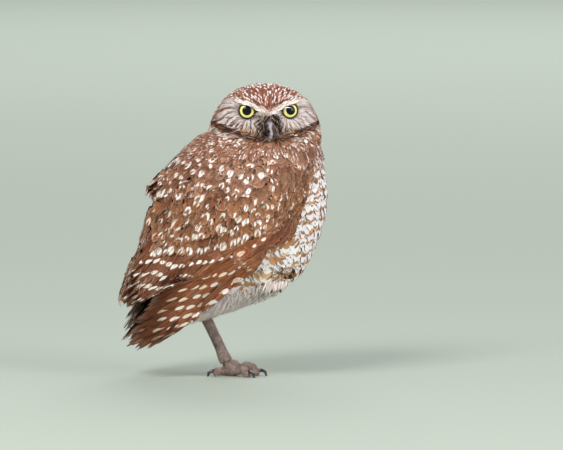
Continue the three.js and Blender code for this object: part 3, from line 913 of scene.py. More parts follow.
def crown_coat(rng):
    """Small spotted feathers over crown and nape."""
    shares = [0, 0.35, 0.65, 0.88, 1.0]
    sunk = ((0, 2.6), (0.35, 1.1), (0.65, 0.5), (1, 0.0))

    def where(points, normals):
        s, u, f = to_head(points)
        z = face_zones(s, u, f)
        inside = (z["front"] > 0.6) & (z["crown"] < 0.4) & (u > z["rim_up"])
        return (points[:, 2] > 168) & off_eyes(points, 1.6) & ~inside

    def gap(points):
        return 1.75 + 0.75 * step(-to_head(points)[2], -18, 20)

    def backness(points):
        return step(-to_head(points)[2], 0, 25)

    roots, lines, ups = grown(face, gap, where, 90000, lambda p: 6.0 + 3.5 * backness(p), 0.09, shares, sunk, rng,
                              jitter=0.14)
    colour, z = head_colour(lines[:, 3], rng)
    s, u, f = to_head(lines[:, 3])
    count = len(roots)
    luck = rng.random(count)
    forehead = step(f, 8, 22) * step(np.abs(s), 30, 18)
    low = step(u, 2, -10)
    strength = (luck < 0.66 + 0.2 * forehead - 0.26 * low) * (1 - z["brow"]) * (1 - z["rim"])
    size = rng.uniform(0.6, 1.3, count)
    long, wide = (0.17 + 0.22 * forehead) * size, (0.6 - 0.12 * forehead) * size * (1 - 0.25 * low)
    spot = np.stack([0.78 - 0.1 * forehead, long, wide, 0 * luck], 1)
    mark = tones(rng.random(count) * (1 - 0.4 * low), (230, 204, 196), (255, 252, 254))
    look = dict(ground=colour, mark=mark, strength=strength, spot=spot, fringe=0.25, shaft=0.5)
    half = (1.15 + 0.75 * backness(roots) - 0.1 * forehead) * (1 + rng.normal(0, 0.08, count))
    behind = to_head(roots)[2] < 4
    for name, part in (("crown_feathers", ~behind), ("nape_feathers", behind)):
        vanes(name, lines[part], ups[part], shares, half[part], "round", rng, pick(look, part), columns=5,
              slot="crown_plumage")


def face_coat(rng):
    """Fine plumes that radiate round the eyes."""

    def where(points, normals):
        s, u, f = to_head(points)
        z = face_zones(s, u, f)
        bill = (np.abs(s) < 3.2) & (u < 0.5) & (f > 20)
        return (z["front"] > 0.3) & (z["crown"] < 0.3) & (u > z["rim_up"] - 3) & off_eyes(points, 0.7) & ~bill

    def above(points):
        return step(to_head(points)[1], 8, 11)

    def length(points):
        return 4.6 + 2.2 * step(face_zones(*to_head(points))["eye_gap"], 8, 18) - 1.4 * above(points)

    sunk = ((0, 0.8), (0.3, 0.1), (0.6, -0.1), (1, 0.0))
    roots, lines, ups = grown(face, 0.85, where, 120000, length, 0.12, FIVE, sunk, rng, 0.1, jitter=0.14)
    lines = lift(lines, ups, 0.9 * above(roots)[:, None] * np.sin(np.pi * np.array(FIVE)))
    colour, _ = head_colour(lines[:, 1] * 0.5 + lines[:, 2] * 0.5, rng)
    half = 0.36 + rng.random(len(roots)) * 0.16
    tufts("face_plumes", lines, ups, FIVE, half, colour, rng, streak=0.5, thick=0.14, slot="crown_plumage")


def both_sides(count):
    """1 and -1 in turn, for the bird's left and right."""
    return np.where(np.arange(count) % 2 == 0, 1.0, -1.0)


def brow_coat(rng):
    """The pale brows, whose hairs lean out from the bill and hang over the upper lids."""
    count = 300
    near = both_sides(count)
    reach = rng.uniform(3.5, 7, count)[:, None] * 0.93 * np.array(FIVE)
    a = 0.2 + 19 * rng.random(count)[:, None] ** 1.25 + reach
    wide = np.interp(a, (0, 8, 14, 22), (1.0, 1.4, 1.3, 1.0))
    off_middle = np.clip(rng.normal(-0.1, 0.6, count), -1.2, 1.3)[:, None] * wide
    u = np.interp(a, BROW_AT, BROW_UP) + off_middle + reach * rng.normal(0.08, 0.16, (count, 1))
    starts = HEAD_MIDDLE + head_way(near[:, None] * a, u, BEFORE_FACE)
    hits, normals = face.meet(starts.reshape(-1, 3), -FORWARD)
    lines, ups = hits.reshape(starts.shape), normals.reshape(starts.shape)
    over_eye = step(np.abs(a - 15), 9, 5)
    heights = np.interp(FIVE, (0, 0.3, 1), (-0.3, 1.0, 1.0)) * (0.7 + 0.8 * over_eye)
    lines = lift(lines, 0.9 * ups + 0.5 * FORWARD, heights)
    whiteness = step(rng.random(count) - 0.35 * step(a[:, 2], 9, 3), 0.1, 0.4)
    colour = tones(whiteness, (150, 104, 84), (255, 254, 255))
    tufts("brow_plumes", lines, ups, FIVE, 0.3 + 0.2 * rng.random(count), colour, rng, slot="crown_plumage")


def bristle_coat(rng):
    """Bristles round the bill's root, which lean down over it."""
    bill_nodes = [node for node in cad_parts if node.startswith("bill_")]
    made = fused("bristle_form", ["head"] + bill_nodes, 0.0, 0.6, 3)
    base = Form(made)
    bpy.data.objects.remove(made)
    count = 260
    s = both_sides(count) * rng.uniform(0.2, 6.0, count)
    starts = HEAD_MIDDLE + head_way(s, rng.uniform(-8, 3, count) + 0.2 * np.abs(s), BEFORE_FACE)
    roots, _ = base.meet(starts, -FORWARD)

    def downward(points):
        s, _, _ = to_head(points)
        return unit(head_way(s * 0.14 + 0.25 * np.sign(s), -1.0, 0.35))

    lengths = rng.uniform(5, 8.5, count) * (1 - 0.35 * step(np.abs(s), 2.5, 1))
    lines, ups = midlines(base, roots, lengths, FIVE, rng, 0.25, 0.75, downward)
    lines = sink(lines, ups, FIVE, ((0, 0.6), (0.3, -0.4), (0.6, -0.8), (1, -0.9)), rng, 0.25)
    colour = tones(step(rng.random(count), 0.78, 0.92), (46, 30, 29), (208, 186, 172))
    tufts("bill_bristles", lines, ups, FIVE, 0.24, colour, rng, slot="crown_plumage")


def head_coat():
    rng = np.random.default_rng(11)
    for coat in (crown_coat, face_coat, brow_coat, bristle_coat):
        coat(rng)


# Body plumage: the wing's front edge, as X and Z
EDGE_X = (-45, -17, 8, 19, 26, 34, 45, 49, 53, 56, 60, 60)
EDGE_Z = (32, 45, 66, 80, 89, 98, 105, 115, 128, 141, 152, 166)
CONTOUR = [0, 0.3, 0.5, 0.64, 0.76, 0.86, 0.94, 1.0]
SUNK = ((0, 3.2), (0.3, 1.7), (0.5, 1.1), (1, 0.1))
STRAND = [0, 0.35, 0.7, 1.0]


def wing_front(z):
    """The wing's front edge: its X at a height."""
    return np.interp(z, EDGE_Z, EDGE_X)


def brown_colour(points, rng):
    luck = rng.random(len(points))
    low = step(points[:, 2], 165, 140)
    return blend(low, tones(luck, (146, 96, 72), (190, 144, 122)), tones(luck, (128, 75, 44), (182, 127, 90)))


def bar_number(points):
    """Which breast bar a place belongs to: rings about the flow's start."""
    return from_flow(points) / 7.3


def hollow(points, normals):
    """How much deeper than elsewhere the coat lies, low on the back."""
    x, z = points[..., 0], points[..., 2]
    return 3.2 * step(x, -54, -62) * step(z, 82, 94) * step(z, 135, 129) * (normals[..., 0] < 0.1)


def seen_back(points, normals):
    """Outer sides only, not the walls of the space between the wings' inner sides and the back."""
    x, y, _ = points.T
    return (x > -48) | (normals[:, 0] < np.where(np.abs(y - MIDDLE_Y) < 18, -0.5, -0.05))


def bump(value, middle, width):
    """The power of a smooth hill round a middle."""
    return ((value - middle) / width) ** 2


def spots_for(count, rng, long, wide, wedged=0.4):
    """Pale spots near the tips: centre, half length, half width, and the width of the wedge between halves."""
    size = rng.uniform(0.65, 1.3, count)
    wide = 0.82 * wide * size * rng.uniform(0.85, 1.15, count)
    return np.stack([0.9 - long * 0.45 * size, long * size, wide, np.where(rng.random(count) < wedged, 0.2, 0)], 1)


def back_coat():
    """Mantle, scapulars and rump, down to the wings' rows of coverts."""
    rng = np.random.default_rng(23)

    def where(points, normals):
        x, y, z = points.T
        above_rows = z > np.interp(x, [-70, -30, 0, 30, 60], [118, 128, 134, 142, 160]) - 4
        rump = (np.abs(y - MIDDLE_Y) < 20) & (x < -20) & (z > 88)
        return (z < 181) & (x < wing_front(z) + 2) & (above_rows | rump) & seen_back(points, normals)

    gap = by_height([120, 140, 160, 172, 182], [7.6, 7.2, 5.6, 4.0, 3.0])
    length = by_height([110, 140, 165, 180], [29, 26, 17, 11])
    roots, lines, ups = grown(outer, gap, where, 40000, length, 0.1, CONTOUR, SUNK, rng, 0.15, 0.75, 0.12)
    count = len(roots)
    size = np.interp(lines[:, 6, 2], [100, 140, 160, 178], [1, 1, 0.64, 0.42])
    # the lowest mantle feathers stand off where the back ends in a step
    x, y, z = lines[:, 7].T
    stand = 9 * np.exp(-bump(x, -59, 8) - bump(z, 138, 7) - bump(y, MIDDLE_Y, 14))
    lines = lift(lines, ups, stand[:, None] * np.array(CONTOUR) ** 2 - hollow(lines, ups))
    spot = spots_for(count, rng, 0.15, 0.6)
    spot[size < 0.8, 1] += 0.04
    look = dict(ground=brown_colour(roots, rng), mark=tones(rng.random(count), (238, 220, 208), (255, 252, 252)),
                strength=rng.random(count) < 0.74 - 0.2 * (size < 0.6), spot=spot, fringe=0.35, shaft=0.5)
    half = 7.4 * size * (1 + rng.normal(0, 0.1, count))
    vanes("back_feathers", lines, ups, CONTOUR, half, "round", rng, look, columns=11, ragged=0.09,
          roll=rng.normal(0, 0.05, count))


# Height of the greater coverts' tips over the wing
ROW_X = (-66, -61, -45, -32, -19, -9.5, 0.7, 10, 18, 27, 36, 45, 52)
ROW_Z = (97, 99.5, 98, 98.5, 100.5, 103, 105, 108.5, 113.5, 120, 127, 133.5, 139)
COVERT_ROWS = (  # rise above the greater coverts' line, gap, length, half width, and the spots' length and width
    (-3, 6.4, 27, 5.4, 0.12, 0.56),
    (9, 8.0, 25, 6.0, 0.1, 0.5),
    (19, 9.4, 25, 6.8, 0.15, 0.48),
    (30, 8.2, 24, 6.4, 0.12, 0.46),
    (41, 8.2, 24, 6.4, 0.12, 0.46),
)


def row_height(x):
    return np.interp(x, ROW_X, ROW_Z) - 3.5


def wing_rows(side_name):
    """Rows of coverts whose tips step up the wing from the greater coverts' line."""
    side = SIDES[side_name]
    rng = np.random.default_rng(31 if side < 0 else 37)
    roots, lengths, halves, spots = [], [], [], []
    for row, (rise, gap, length, half, long, wide) in enumerate(COVERT_ROWS):
        x = np.arange(-66 + (row % 2) * gap / 2, 53 - row * 1.5, gap)
        x = x + rng.normal(0, gap * 0.09, len(x))
        z = row_height(x) + rise + rng.normal(0, 0.3 + 0.25 * min(row, 3), len(x))
        away = unit(np.stack([x - FLOW_FROM[0], z - FLOW_FROM[2]], 1))
        back = length * (1 + rng.normal(0, 0.06, len(x)))
        root_x, root_z = x - away[:, 0] * back, z - away[:, 1] * back
        y = outer.from_side(root_x, root_z, side)
        seen = ~np.isnan(y)
        roots.append(np.stack([root_x, y, root_z], 1)[seen])
        lengths.append(back[seen])
        halves.append(np.full(seen.sum(), half))
        spot = spots_for(seen.sum(), rng, long, wide, 0.85 if row == 0 else 0.45)
        if row == 0:
            vary = rng.uniform([0.99, 0.85, 0.85], [1.01, 1.15, 1.1], (len(spot), 3))
            spot[:, :3] = [0.84, long * 1.15, wide] * vary
        spots.append(spot)
    roots, lengths, half, spot = (np.concatenate(v) for v in (roots, lengths, halves, spots))
    lines, ups = midlines(outer, roots, lengths, CONTOUR, rng, 0.06, 0.8)
    lines = sink(lines, ups, CONTOUR, SUNK, rng)
    count = len(roots)
    look = dict(ground=brown_colour(roots, rng), mark=tones(rng.random(count), (240, 224, 212), (255, 252, 252)),
                strength=rng.random(count) < 0.95, spot=spot, fringe=0.3, shaft=0.5)
    half = half * (1 + rng.normal(0, 0.07, count))
    vanes(f"wing_{side_name}_covert_feathers", lines, ups, CONTOUR, half, "round", rng, look, columns=11,
          ragged=0.075, roll=side * 0.04 + rng.normal(0, 0.04, count))


def small_wing_feathers(side_name):
    """Alula and primary coverts at the wing's bend, and the spotted feathers of its front edge."""
    side = SIDES[side_name]
    rng = np.random.default_rng(61 if side < 0 else 67)
    at = np.array(CONTOUR)

    def laid(name, starts, ends, half, look, columns=9, depth=0.5, ragged=0.03):
        starts, ends = np.array(starts, float), np.array(ends, float)
        flat = starts[:, None] + (ends - starts)[:, None] * at[None, :, None]
        y = np.stack([outer.from_side(*line.T, side) for line in flat])
        for n in range(len(y)):
            seen = ~np.isnan(y[n])
            y[n] = np.polyval(np.polyfit(at[seen], y[n][seen], 2), at)
        lines = np.stack([flat[..., 0], y + side * depth * (0.4 + at), flat[..., 1]], 2)
        normals = outer.nearest(lines.reshape(-1, 3))[1]
        ups = unit(normals.reshape(lines.shape) + np.array([0, side * 1.5, 0]))
        vanes(f"wing_{side_name}_{name}_feathers", lines, ups, CONTOUR, half, "round", rng, look,
              columns=columns, ragged=ragged, roll=side * 0.05)

    count = 7
    look = dict(ground=tones(rng.random(count), (150, 84, 50), (168, 104, 68)), mark=rgb(236, 206, 180),
                strength=1.0, spot=spots_for(count, rng, 0.07, 0.5, 0), fringe=0.15, shaft=0.7)
    starts, ends = np.linspace((39, 116), (27, 99), count), np.linspace((0, 91), (11, 81), count)
    laid("primary_covert", starts, ends, 4.2, look, ragged=0.06)
    grounds = np.array([rgb(134, 80, 60), rgb(150, 94, 70), rgb(166, 108, 80)])
    look = dict(ground=grounds, fringe=0.25, shaft=0.8, streak=0.6)
    laid("alula", [(45, 125), (46.5, 124), (48, 122)], [(25, 100), (31, 99.5), (36, 102)], [5.2, 5.4, 4.6], look)
    # files of spotted feathers down the front edge, each further behind it
    behind = [20.0, 16.5, 12.8, 9.0, 6.0, 3.0, 0.5]
    in_file = 16
    count = in_file * len(behind)
    share = np.tile(np.linspace(0, 1, in_file), len(behind)) + rng.uniform(-0.03, 0.03, count)
    share[:3 * in_file] = 0.25 + share[:3 * in_file] * 0.55
    edge_z = 164 - share * 62
    edge_x = wing_front(edge_z) - 1 - np.repeat(behind, in_file) + rng.normal(0, 0.6, count)
    starts = np.stack([edge_x + 1, edge_z + 6.5], 1)
    ends = np.stack([edge_x + 0.5 - 7 * share, edge_z - 5.5], 1)
    look = dict(ground=brown_colour(np.insert(starts, 1, 0, axis=1), rng),
                mark=blend(rng.random(count), rgb(236, 214, 192), WHITE), strength=1.0,
                spot=spots_for(count, rng, 0.15, 0.45, 0.3), fringe=0.3, shaft=0.4)
    laid("edge", starts, ends, 3.2, look, columns=7, depth=0.1, ragged=0.07)


def curve_through(points, count):
    """Even places along a smooth line through a few points."""
    points = np.asarray(points, float)
    reach = np.concatenate([[0], np.cumsum(np.linalg.norm(np.diff(points, axis=0), axis=1))])
    at = np.linspace(0, reach[-1], count)
    order = min(4, len(points) - 1)
    return np.stack([np.polyval(np.polyfit(reach, column, order), at) for column in points.T], 1)


# Roots and tips as X and Z; base is how deep a fan lies, sag how far its feathers bow upwards
FANS = {
    "secondary": dict(
        roots=[(32, 116), (-8, 122), (-46, 126)],
        tips=[(-40, 73), (-52, 67.5), (-63, 62), (-72, 56), (-80, 50), (-83, 55), (-82, 63), (-79, 74)],
        count=14, half=7.4, base=0.3, sag=3.0, row=9.6, gap=0.53, period=10.5, tip=0.0, jitter=0.12,
        mark=(0.55, 0.34), colours=((110, 60, 34), (146, 90, 58)), marks=((240, 222, 208), (250, 246, 244)),
    ),
    "primary": dict(
        roots=[(21, 105), (21.5, 98), (22, 91)],
        tips=[(-60, 58), (-65, 50.5), (-69.5, 43.5), (-74.5, 36.5), (-79.5, 30), (-79, 25.5), (-75, 20.5),
              (-69, 17.5), (-60, 26.5), (-47, 37)],
        count=9, half=6.4, base=0.3, sag=1.2, row=9.4, gap=0.46, period=12.0, tip=0.9, jitter=0.08,
        mark=(0.55, 0.36), colours=((134, 76, 44), (160, 96, 60)), marks=((242, 212, 186), (250, 246, 244)),
    ),
}
SURFACE_POWERS = ((0, 0), (1, 0), (0, 1), (2, 0), (1, 1), (0, 2), (2, 1), (1, 2), (3, 0), (0, 3))


def flight_feathers(side_name, kind):
    """A fan of long feathers, each lying over the lower one's upper vane."""
    side, fan = SIDES[side_name], FANS[kind]
    rng = np.random.default_rng((41 if side < 0 else 43) + len(kind))
    shares = 1 - np.linspace(1, 0, 27) ** 1.3
    count = fan["count"]
    roots, tips = curve_through(fan["roots"], count), curve_through(fan["tips"], count)
    node = f"wing_{side_name}_{WING_PARTS[kind]}"
    made = fused(node + "_form", [node], 0.0, 1.2, 3)
    wing = Form(made)
    bpy.data.objects.remove(made)
    way = tips - roots
    droop = unit(np.stack([way[:, 1], -way[:, 0]], 1))
    bow = (fan["sag"] * np.sin(np.pi * shares))[None, :, None]
    flat = roots[:, None] + shares[None, :, None] * way[:, None] - droop[:, None] * bow
    x, z = flat[..., 0], flat[..., 1]
    y = wing.from_side(x.ravel(), z.ravel(), side)
    # one smooth surface through the whole fan keeps the feathers in order
    order, at = (v.ravel() for v in np.meshgrid(np.linspace(-1, 1, count), shares * 2 - 1, indexing="ij"))
    terms = np.stack([order ** i * at ** j for i, j in SURFACE_POWERS], 1)
    seen = ~np.isnan(y)
    surface = terms @ np.linalg.lstsq(terms[seen], y[seen], rcond=None)[0]
    surface = surface.reshape(x.shape) - side * fan["base"]
    # under the coverts the feathers keep below the wing's outside
    top = outer.from_side(x.ravel(), z.ravel(), side).reshape(x.shape)
    top = top - side * 2.6 * step(z - row_height(x), -7, 1)
    surface = np.where(~np.isnan(top) & (side * (surface - top) > 0), top, surface)
    lines = np.stack([x, surface, z], 2)
    ups = unit(np.cross(np.gradient(lines, axis=0), np.gradient(lines, axis=1)))
    ups = ups * np.sign(ups[..., 1:2] * side)

    def rows(points):
        x, z = points[:, 0], points[:, 2]
        if kind == "secondary":
            return np.maximum((row_height(x) - z) / fan["row"] + 0.02, 0.5)
        return np.where(x > 8, 0.5, (108.6 - 1.3576 * z + 0.2726 * x) / fan["row"])

    middle, wide = fan["mark"]
    wide = wide * np.linspace(0.6, 1.2, count)
    bars = [0 * wide + 1, 0 * wide + side * middle, wide, 0 * wide + fan["gap"]]
    look = dict(ground=tones(rng.random(count), *fan["colours"]), mark=tones(rng.random(count), *fan["marks"]),
                bars=np.stack(bars, 1), fringe=0.12, shaft=0.9, tip=fan["tip"], count=rows, jitter=fan["jitter"],
                period=fan["period"])
    made = vanes(f"wing_{side_name}_{kind}_feathers", lines, ups, shares, fan["half"], "blade", rng, look,
                 columns=13, thick=0.24, camber=0.05, ragged=0.03, roll=side * 0.08, soft=0.6,
                 uneven=(0.75, 1.0) if side < 0 else (1.0, 0.75), bake_cells=5, slot="flight_feathers")
    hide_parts(node)


def facing_back(out, spread_by, stations):
    """Up directions of tail feathers, which turn outwards by their share of the way out."""
    ups = unit(np.stack([0 * out - 0.78, out * spread_by, 0 * out + 0.62], 1))
    return np.repeat(ups[:, None], stations, 1)


def tail_feathers():
    rng = np.random.default_rng(47)
    shares = np.array([0, 0.15, 0.3, 0.45, 0.6, 0.72, 0.82, 0.9, 0.96, 1.0])
    count = 12
    out = np.linspace(-1, 1, count)
    root = np.stack([np.full(count, -44.0), MIDDLE_Y + out * 7, 74 - 0.5 * np.abs(out)], 1)
    tip = np.stack([-82 + 3 * out ** 2, MIDDLE_Y + out * 14.5, 26.5 + 3 * out ** 2], 1)
    lines = root[:, None] + (tip - root)[:, None] * shares[None, :, None]
    ups = facing_back(out, 0.3, len(shares))
    lines = lines - ups * (np.abs(out) * 1.6)[:, None, None]
    # the tail's dark ground is partly painted shade, standing for the shadow the tail lies in between the wings
    look = dict(ground=tones(rng.random(count), (70, 44, 32), (92, 60, 44)), mark=rgb(190, 156, 126),
                bars=(0.8, 0.0, 0.8, 0.7), fringe=0.3, shaft=0.8, tip=0.5, count=lambda p: p[:, 2] / 9.0)
    made = vanes("tail_feathers", lines, ups, shares, 6.0, "blade", rng, look, columns=11, thick=0.24, camber=0.05,
                 ragged=0.05, roll=np.sign(out) * 0.1, bake_cells=4, slot="flight_feathers")
    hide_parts("tail")


TAIL_COVERT_ROWS = (  # number, and X and Z of the middle feather's root and tip
    (8, (-50, 75), (-81, 35)),
    (9, (-51, 79), (-79, 43)),
    (8, (-52, 83), (-75, 51)),
    (9, (-53, 88), (-73, 60)),
)


def tail_coverts():
    """Dark feathers that lie over the tail's root, between the wings; much of their darkness is painted shade for
    the shadow there.
    """
    rng = np.random.default_rng(79)
    shares = np.array(CONTOUR)
    roots, tips, outs = [], [], []
    for number, root, tip in TAIL_COVERT_ROWS:
        out = np.linspace(-1, 1, number)
        roots.append(np.stack([root[0] + 0 * out, MIDDLE_Y + out * 9, root[1] - 1.5 * out ** 2], 1))
        tips.append(np.stack([tip[0] + 4 * out ** 2, MIDDLE_Y + out * 14, tip[1] + rng.normal(0, 1, number)], 1))
        outs.append(out)
    roots, tips, out = (np.concatenate(v) for v in (roots, tips, outs))
    lines = roots[:, None] + (tips - roots)[:, None] * shares[None, :, None]
    # the near-black ground is painted shade of the shadowed hollow between the wings, over the feathers' own brown
    look = dict(ground=tones(rng.random(len(out)), (44, 28, 22), (74, 47, 35)), mark=rgb(190, 156, 126),
                strength=0.3, spot=spots_for(len(out), rng, 0.07, 0.5, 0), fringe=0.15, shaft=0.6)
    ups = facing_back(out, 0.35, len(shares))
    vanes("tail_covert_feathers", lines, ups, shares, 5.2, "round", rng, look, columns=9, ragged=0.08)


def breast_coat():
    """Barred breast and belly feathers, and the streaked brown ones over the chest."""
    rng = np.random.default_rng(53)

    def where(points, normals):
        x, _, z = points.T
        above = z > np.interp(x, [0, 25, 45], [71, 72, 71])
        return (z < 178) & above & (x > wing_front(z) - 7 - 8 * (z < 86)) & (normals[:, 2] > -0.85)

    gap = by_height([60, 120, 160, 178], [3.9, 3.9, 3.6, 2.9])
    length = by_height([60, 120, 165, 178], [18, 17, 12, 9])
    sunk = ((0, 3.2), (0.3, 1.5), (0.6, 0.6), (1, -0.3))
    roots, lines, ups = grown(inner, gap, where, 60000, length, 0.14, CONTOUR, sunk, rng, 0.2, 0.6, 0.25)
    puffed = 1.7 * step(roots[:, 2], 130, 95) * step(roots[:, 0], 30, 45)
    lines = lift(lines, ups, puffed[:, None] * np.array(CONTOUR) ** 1.5)
    count = len(roots)
    x, _, z = lines[:, 5].T
    luck = rng.random(count)
    chest = np.maximum(step(z, 150, 157), step(x, wing_front(z) + 1, wing_front(z) - 4) * step(z, 112, 122))
    streaked = chest * step(x, 46, 56)
    ground = blend(chest, tones(luck, (170, 114, 72), (210, 160, 116)), brown_colour(roots, rng))
    barred = chest < 0.5
    strength = np.where(barred, 0, 0.9 * (rng.random(count) < 0.9))
    ochre = np.exp(-bump(x, 15, 9) - bump(z, 69, 5))
    bars = np.stack([barred, 0 * z, 0 * z + 9, 0.25 + 0.14 * rng.random(count) + 0.4 * ochre], 1)
    spot = spots_for(count, rng, 0.13, 0.42, 0.2)
    spot[:, 0] -= 0.15 * streaked
    spot[:, 1] += 0.22 * streaked
    look = dict(ground=ground, mark=tones(rng.random(count), (244, 232, 238), (255, 252, 255)), strength=strength,
                bars=bars, spot=spot, fringe=0.2, shaft=0.1, streak=0.5, count=bar_number, jitter=0.17)
    half = np.interp(z, [55, 80, 150, 175], [5.4, 4.6, 4.0, 2.7])
    for name, part in (("belly_feathers", z < 118), ("breast_feathers", z >= 118)):
        vanes(name, lines[part], ups[part], CONTOUR, half[part], "round", rng, pick(look, part), columns=9,
              ragged=0.1, soft=0.85, slot="pale_plumage")


def flank_coat():
    """Broad soft feathers of cream, ochre and rust below the wings' bends."""
    rng = np.random.default_rng(83)

    def where(points, normals):
        x, y, z = points.T
        return (x > wing_front(z + 4) - 9) & (x < 47) & (z > 88) & (z < 122) & (np.abs(y - MIDDLE_Y) > 22)

    sunk = ((0, 2.2), (0.3, 0.6), (0.6, -0.2), (1, -0.6))
    roots, lines, ups = grown(inner, 4.4, where, 30000, 21, 0.08, CONTOUR, sunk, rng)
    count = len(roots)
    luck = rng.random(count)
    x, _, z = lines[:, 5].T
    gap = 0.36 + 0.14 * rng.random(count) + 0.35 * np.exp(-bump(x, 38, 6) - bump(z, 91, 6))
    look = dict(ground=tones(luck, (168, 116, 74), (218, 176, 134)),
                mark=tones(rng.random(count), (250, 240, 234), (255, 255, 255)),
                bars=np.stack([0 * gap + 1, 0 * gap, 0 * gap + 9, gap], 1), fringe=0.1, shaft=0.15, streak=0.4,
                jitter=0.06, count=lambda p: (from_flow(p) - 132.5) / 13)
    half = 6.6 * (1 + rng.normal(0, 0.1, count))
    vanes("flank_feathers", lines, ups, CONTOUR, half, "round", rng, look, columns=11, ragged=0.08, soft=0.97,
          slot="pale_plumage")


def underside_coat():
    """Soft whitish down under the belly, round the thigh and under the tail."""
    rng = np.random.default_rng(59)
    along = np.array(STRAND)
    down = dict(streak=0.1, thick=0.2, ragged=0.05, soft=0.9, slot="pale_plumage")

    def where(points, normals):
        x, y, z = points.T
        return (z < 78) & (x > -58) & ((normals[:, 2] < -0.6) | (z < 73)) & (np.abs(y - MIDDLE_Y) < 40)

    roots = spread(inner, 1.25, where, rng, 160000)
    count = len(roots)
    lengths = 11 * (1 + rng.normal(0, 0.2, count))
    lines, ups = midlines(inner, roots, lengths, STRAND, rng, 0.25, 0.5)
    heights = np.interp(STRAND, [0, 0.4, 1], [-3.0, -0.7, -0.1]) + rng.normal(0, 0.45, (count, 1))
    heights = heights + np.abs(rng.normal(0, 0.7, (count, 1))) * along ** 2
    # fuller round the tucked claws, which show only their tips
    low, high = box_of("foot_right")
    full = step(np.linalg.norm(roots - [*(low + high)[:2] / 2, low[2]], axis=1), 20, 9)
    heights = heights + full[:, None] * np.interp(STRAND, [0, 0.5, 1], [0.3, 1.8, 2.0])
    lines = lift(lines, ups, heights)
    lines[:, :, 2] -= along ** 2 * 1.2
    colour = tones(rng.random(count), (218, 206, 202), (250, 244, 244))
    tufts("underside_plumes", lines, unit(ups + 0.75 * UP), STRAND, 0.62, colour, rng, **down)

    # a few longer plumes hang over the tucked claws
    lines = []
    for number, count in ((1, 24), (2, 12), (3, 24)):
        low, high = box_of(f"claw_right_{number}")
        start = [rng.normal((low[0] + high[0]) / 2, 2.0, count), low[1] - rng.uniform(0.4, 1.6, count),
                 high[2] + rng.uniform(0.5, 3.0, count)]
        fall = [rng.normal(-2.0, 1.2, count), rng.uniform(-0.6, 0.2, count),
                -rng.uniform(0.5, 0.95, count) * (high[2] - low[2]) - 1.2]
        start, fall = np.stack(start, 1), np.stack(fall, 1)
        lines.append(start[:, None] + fall[:, None] * along[None, :, None])
    lines = np.concatenate(lines)
    ups = np.tile(unit(np.array([0.0, -1.0, 0.3])), lines.shape[:2] + (1,))
    colour = tones(rng.random(len(lines)), (204, 190, 184), (240, 232, 230))
    tufts("claw_plumes", lines, ups, STRAND, 0.8, colour, rng, **down)


def loose_barbs():
    """Fine loose strands over the mantle and coverts, and longer ones over the closed wing's end."""
    rng = np.random.default_rng(71)

    def where(points, normals):
        x, _, z = points.T
        above = z > np.interp(x, [-70, -30, 0, 30, 60], [66, 96, 104, 116, 140])
        return (z < 176) & (x < wing_front(z) + 3) & seen_back(points, normals) & above

    def gap(points):
        return 3.4 - 1.2 * step(-points[:, 0], 46, 60)

    def at_end(points):
        return step(-points[:, 0], 42, 56) * step(points[:, 2], 138, 120)

    def length(points):
        return 6.5 + 9 * at_end(points)

    sunk = ((0, 0.6), (0.35, 0.02), (0.7, -0.15), (1, -0.3))
    roots, lines, ups = grown(outer, gap, where, 40000, length, 0.2, STRAND, sunk, rng, 0.2, 0.7, 0.12)
    lines = lift(lines, ups, -hollow(lines, ups))
    luck = rng.random(len(roots))
    colour = tones(luck, (96, 54, 34), (190, 144, 120))
    colour = blend((luck > 0.9 - 0.2 * at_end(roots)) * 0.9, colour, rgb(240, 222, 210))
    half = 0.2 + 0.12 * rng.random(len(roots))
    tufts("loose_barbs", lines, ups, STRAND, half, colour, rng, streak=0.4, thick=0.12, ragged=0.05, soft=0.9)


def leg_bristles():
    """Sparse pale bristles down the shank and over the toes."""
    rng = np.random.default_rng(73)

    def where(points, normals):
        x, _, z = points.T
        return (z > 7) & (z < 46) & (x > -30) & (normals[:, 0] > -0.6)

    def down(points):
        return np.tile([0.35, 0, -1.0], (len(points), 1))

    sunk = ((0, 0.5), (0.35, -0.2), (1, -0.6))
    roots, lines, ups = grown(shank, 1.3, where, 20000, 3.0, 0.2, STRAND, sunk, rng, 0.25, way=down)
    colour = tones(rng.random(len(roots)), (150, 126, 118), (232, 216, 208))
    tufts("leg_bristles", lines, ups, STRAND, 0.2, colour, rng, streak=0.2, thick=0.14, ragged=0.03,
          slot="leg_skin")


# The skin
def build_skin():
    """One skin over flesh, leg and feet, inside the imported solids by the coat's depth where feathers grow."""
    body = flesh_form
    points, normals = vertices_of(body), normals_of(body)
    depth = by_height([40, 60, 150, 175, 190], [2.0, 1.7, 1.35, 1.3, 1.5])(points) + hollow(points, normals)
    for eye in EYES:
        depth = depth + 1.0 * step(np.linalg.norm(points - eye.middle, axis=1), 14, 9)
    move_vertices(body, points - normals * depth[:, None])
    even_out(body, 3)
    tucked = fused("tucked_form", ["foot_right"], 0.1, 0.4, 3)
    skin_look, leg_look = skin_finish(), leg_finish()
    for thing, finish in ((body, skin_look), (leg, leg_look), (tucked, leg_look)):
        points = vertices_of(thing)
        x, _, z = points.T
        front = ((x > wing_front(z) - 7) & (z < 150)).astype(float)
        under = np.maximum(step(z, 92, 84) * step(-normals_of(thing)[:, 2], 0.4, 0.6), step(z, 70, 66))
        front, flecked = front * (1 - under), (1 - front) * (z < 172) * (1 - under)
        ground = blend(front, brown_colour(points, np.random.default_rng(4)), rgb(190, 140, 96))
        ground = blend(under, ground, rgb(230, 222, 218))
        ground = blend(step(z, 172, 178), ground, head_colour(points, np.random.default_rng(3))[0])
        colour_vertices(thing.data, "Ground", ground)
        colour_vertices(thing.data, "Bars", np.stack([bar_number(points), front, flecked], 1))
        finish.put_on(thing)
    join([leg, tucked, body])
    body.name = body.data.name = "skin"
    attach(body, "root")
    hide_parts(*FLESH, *FOOT, "foot_right")


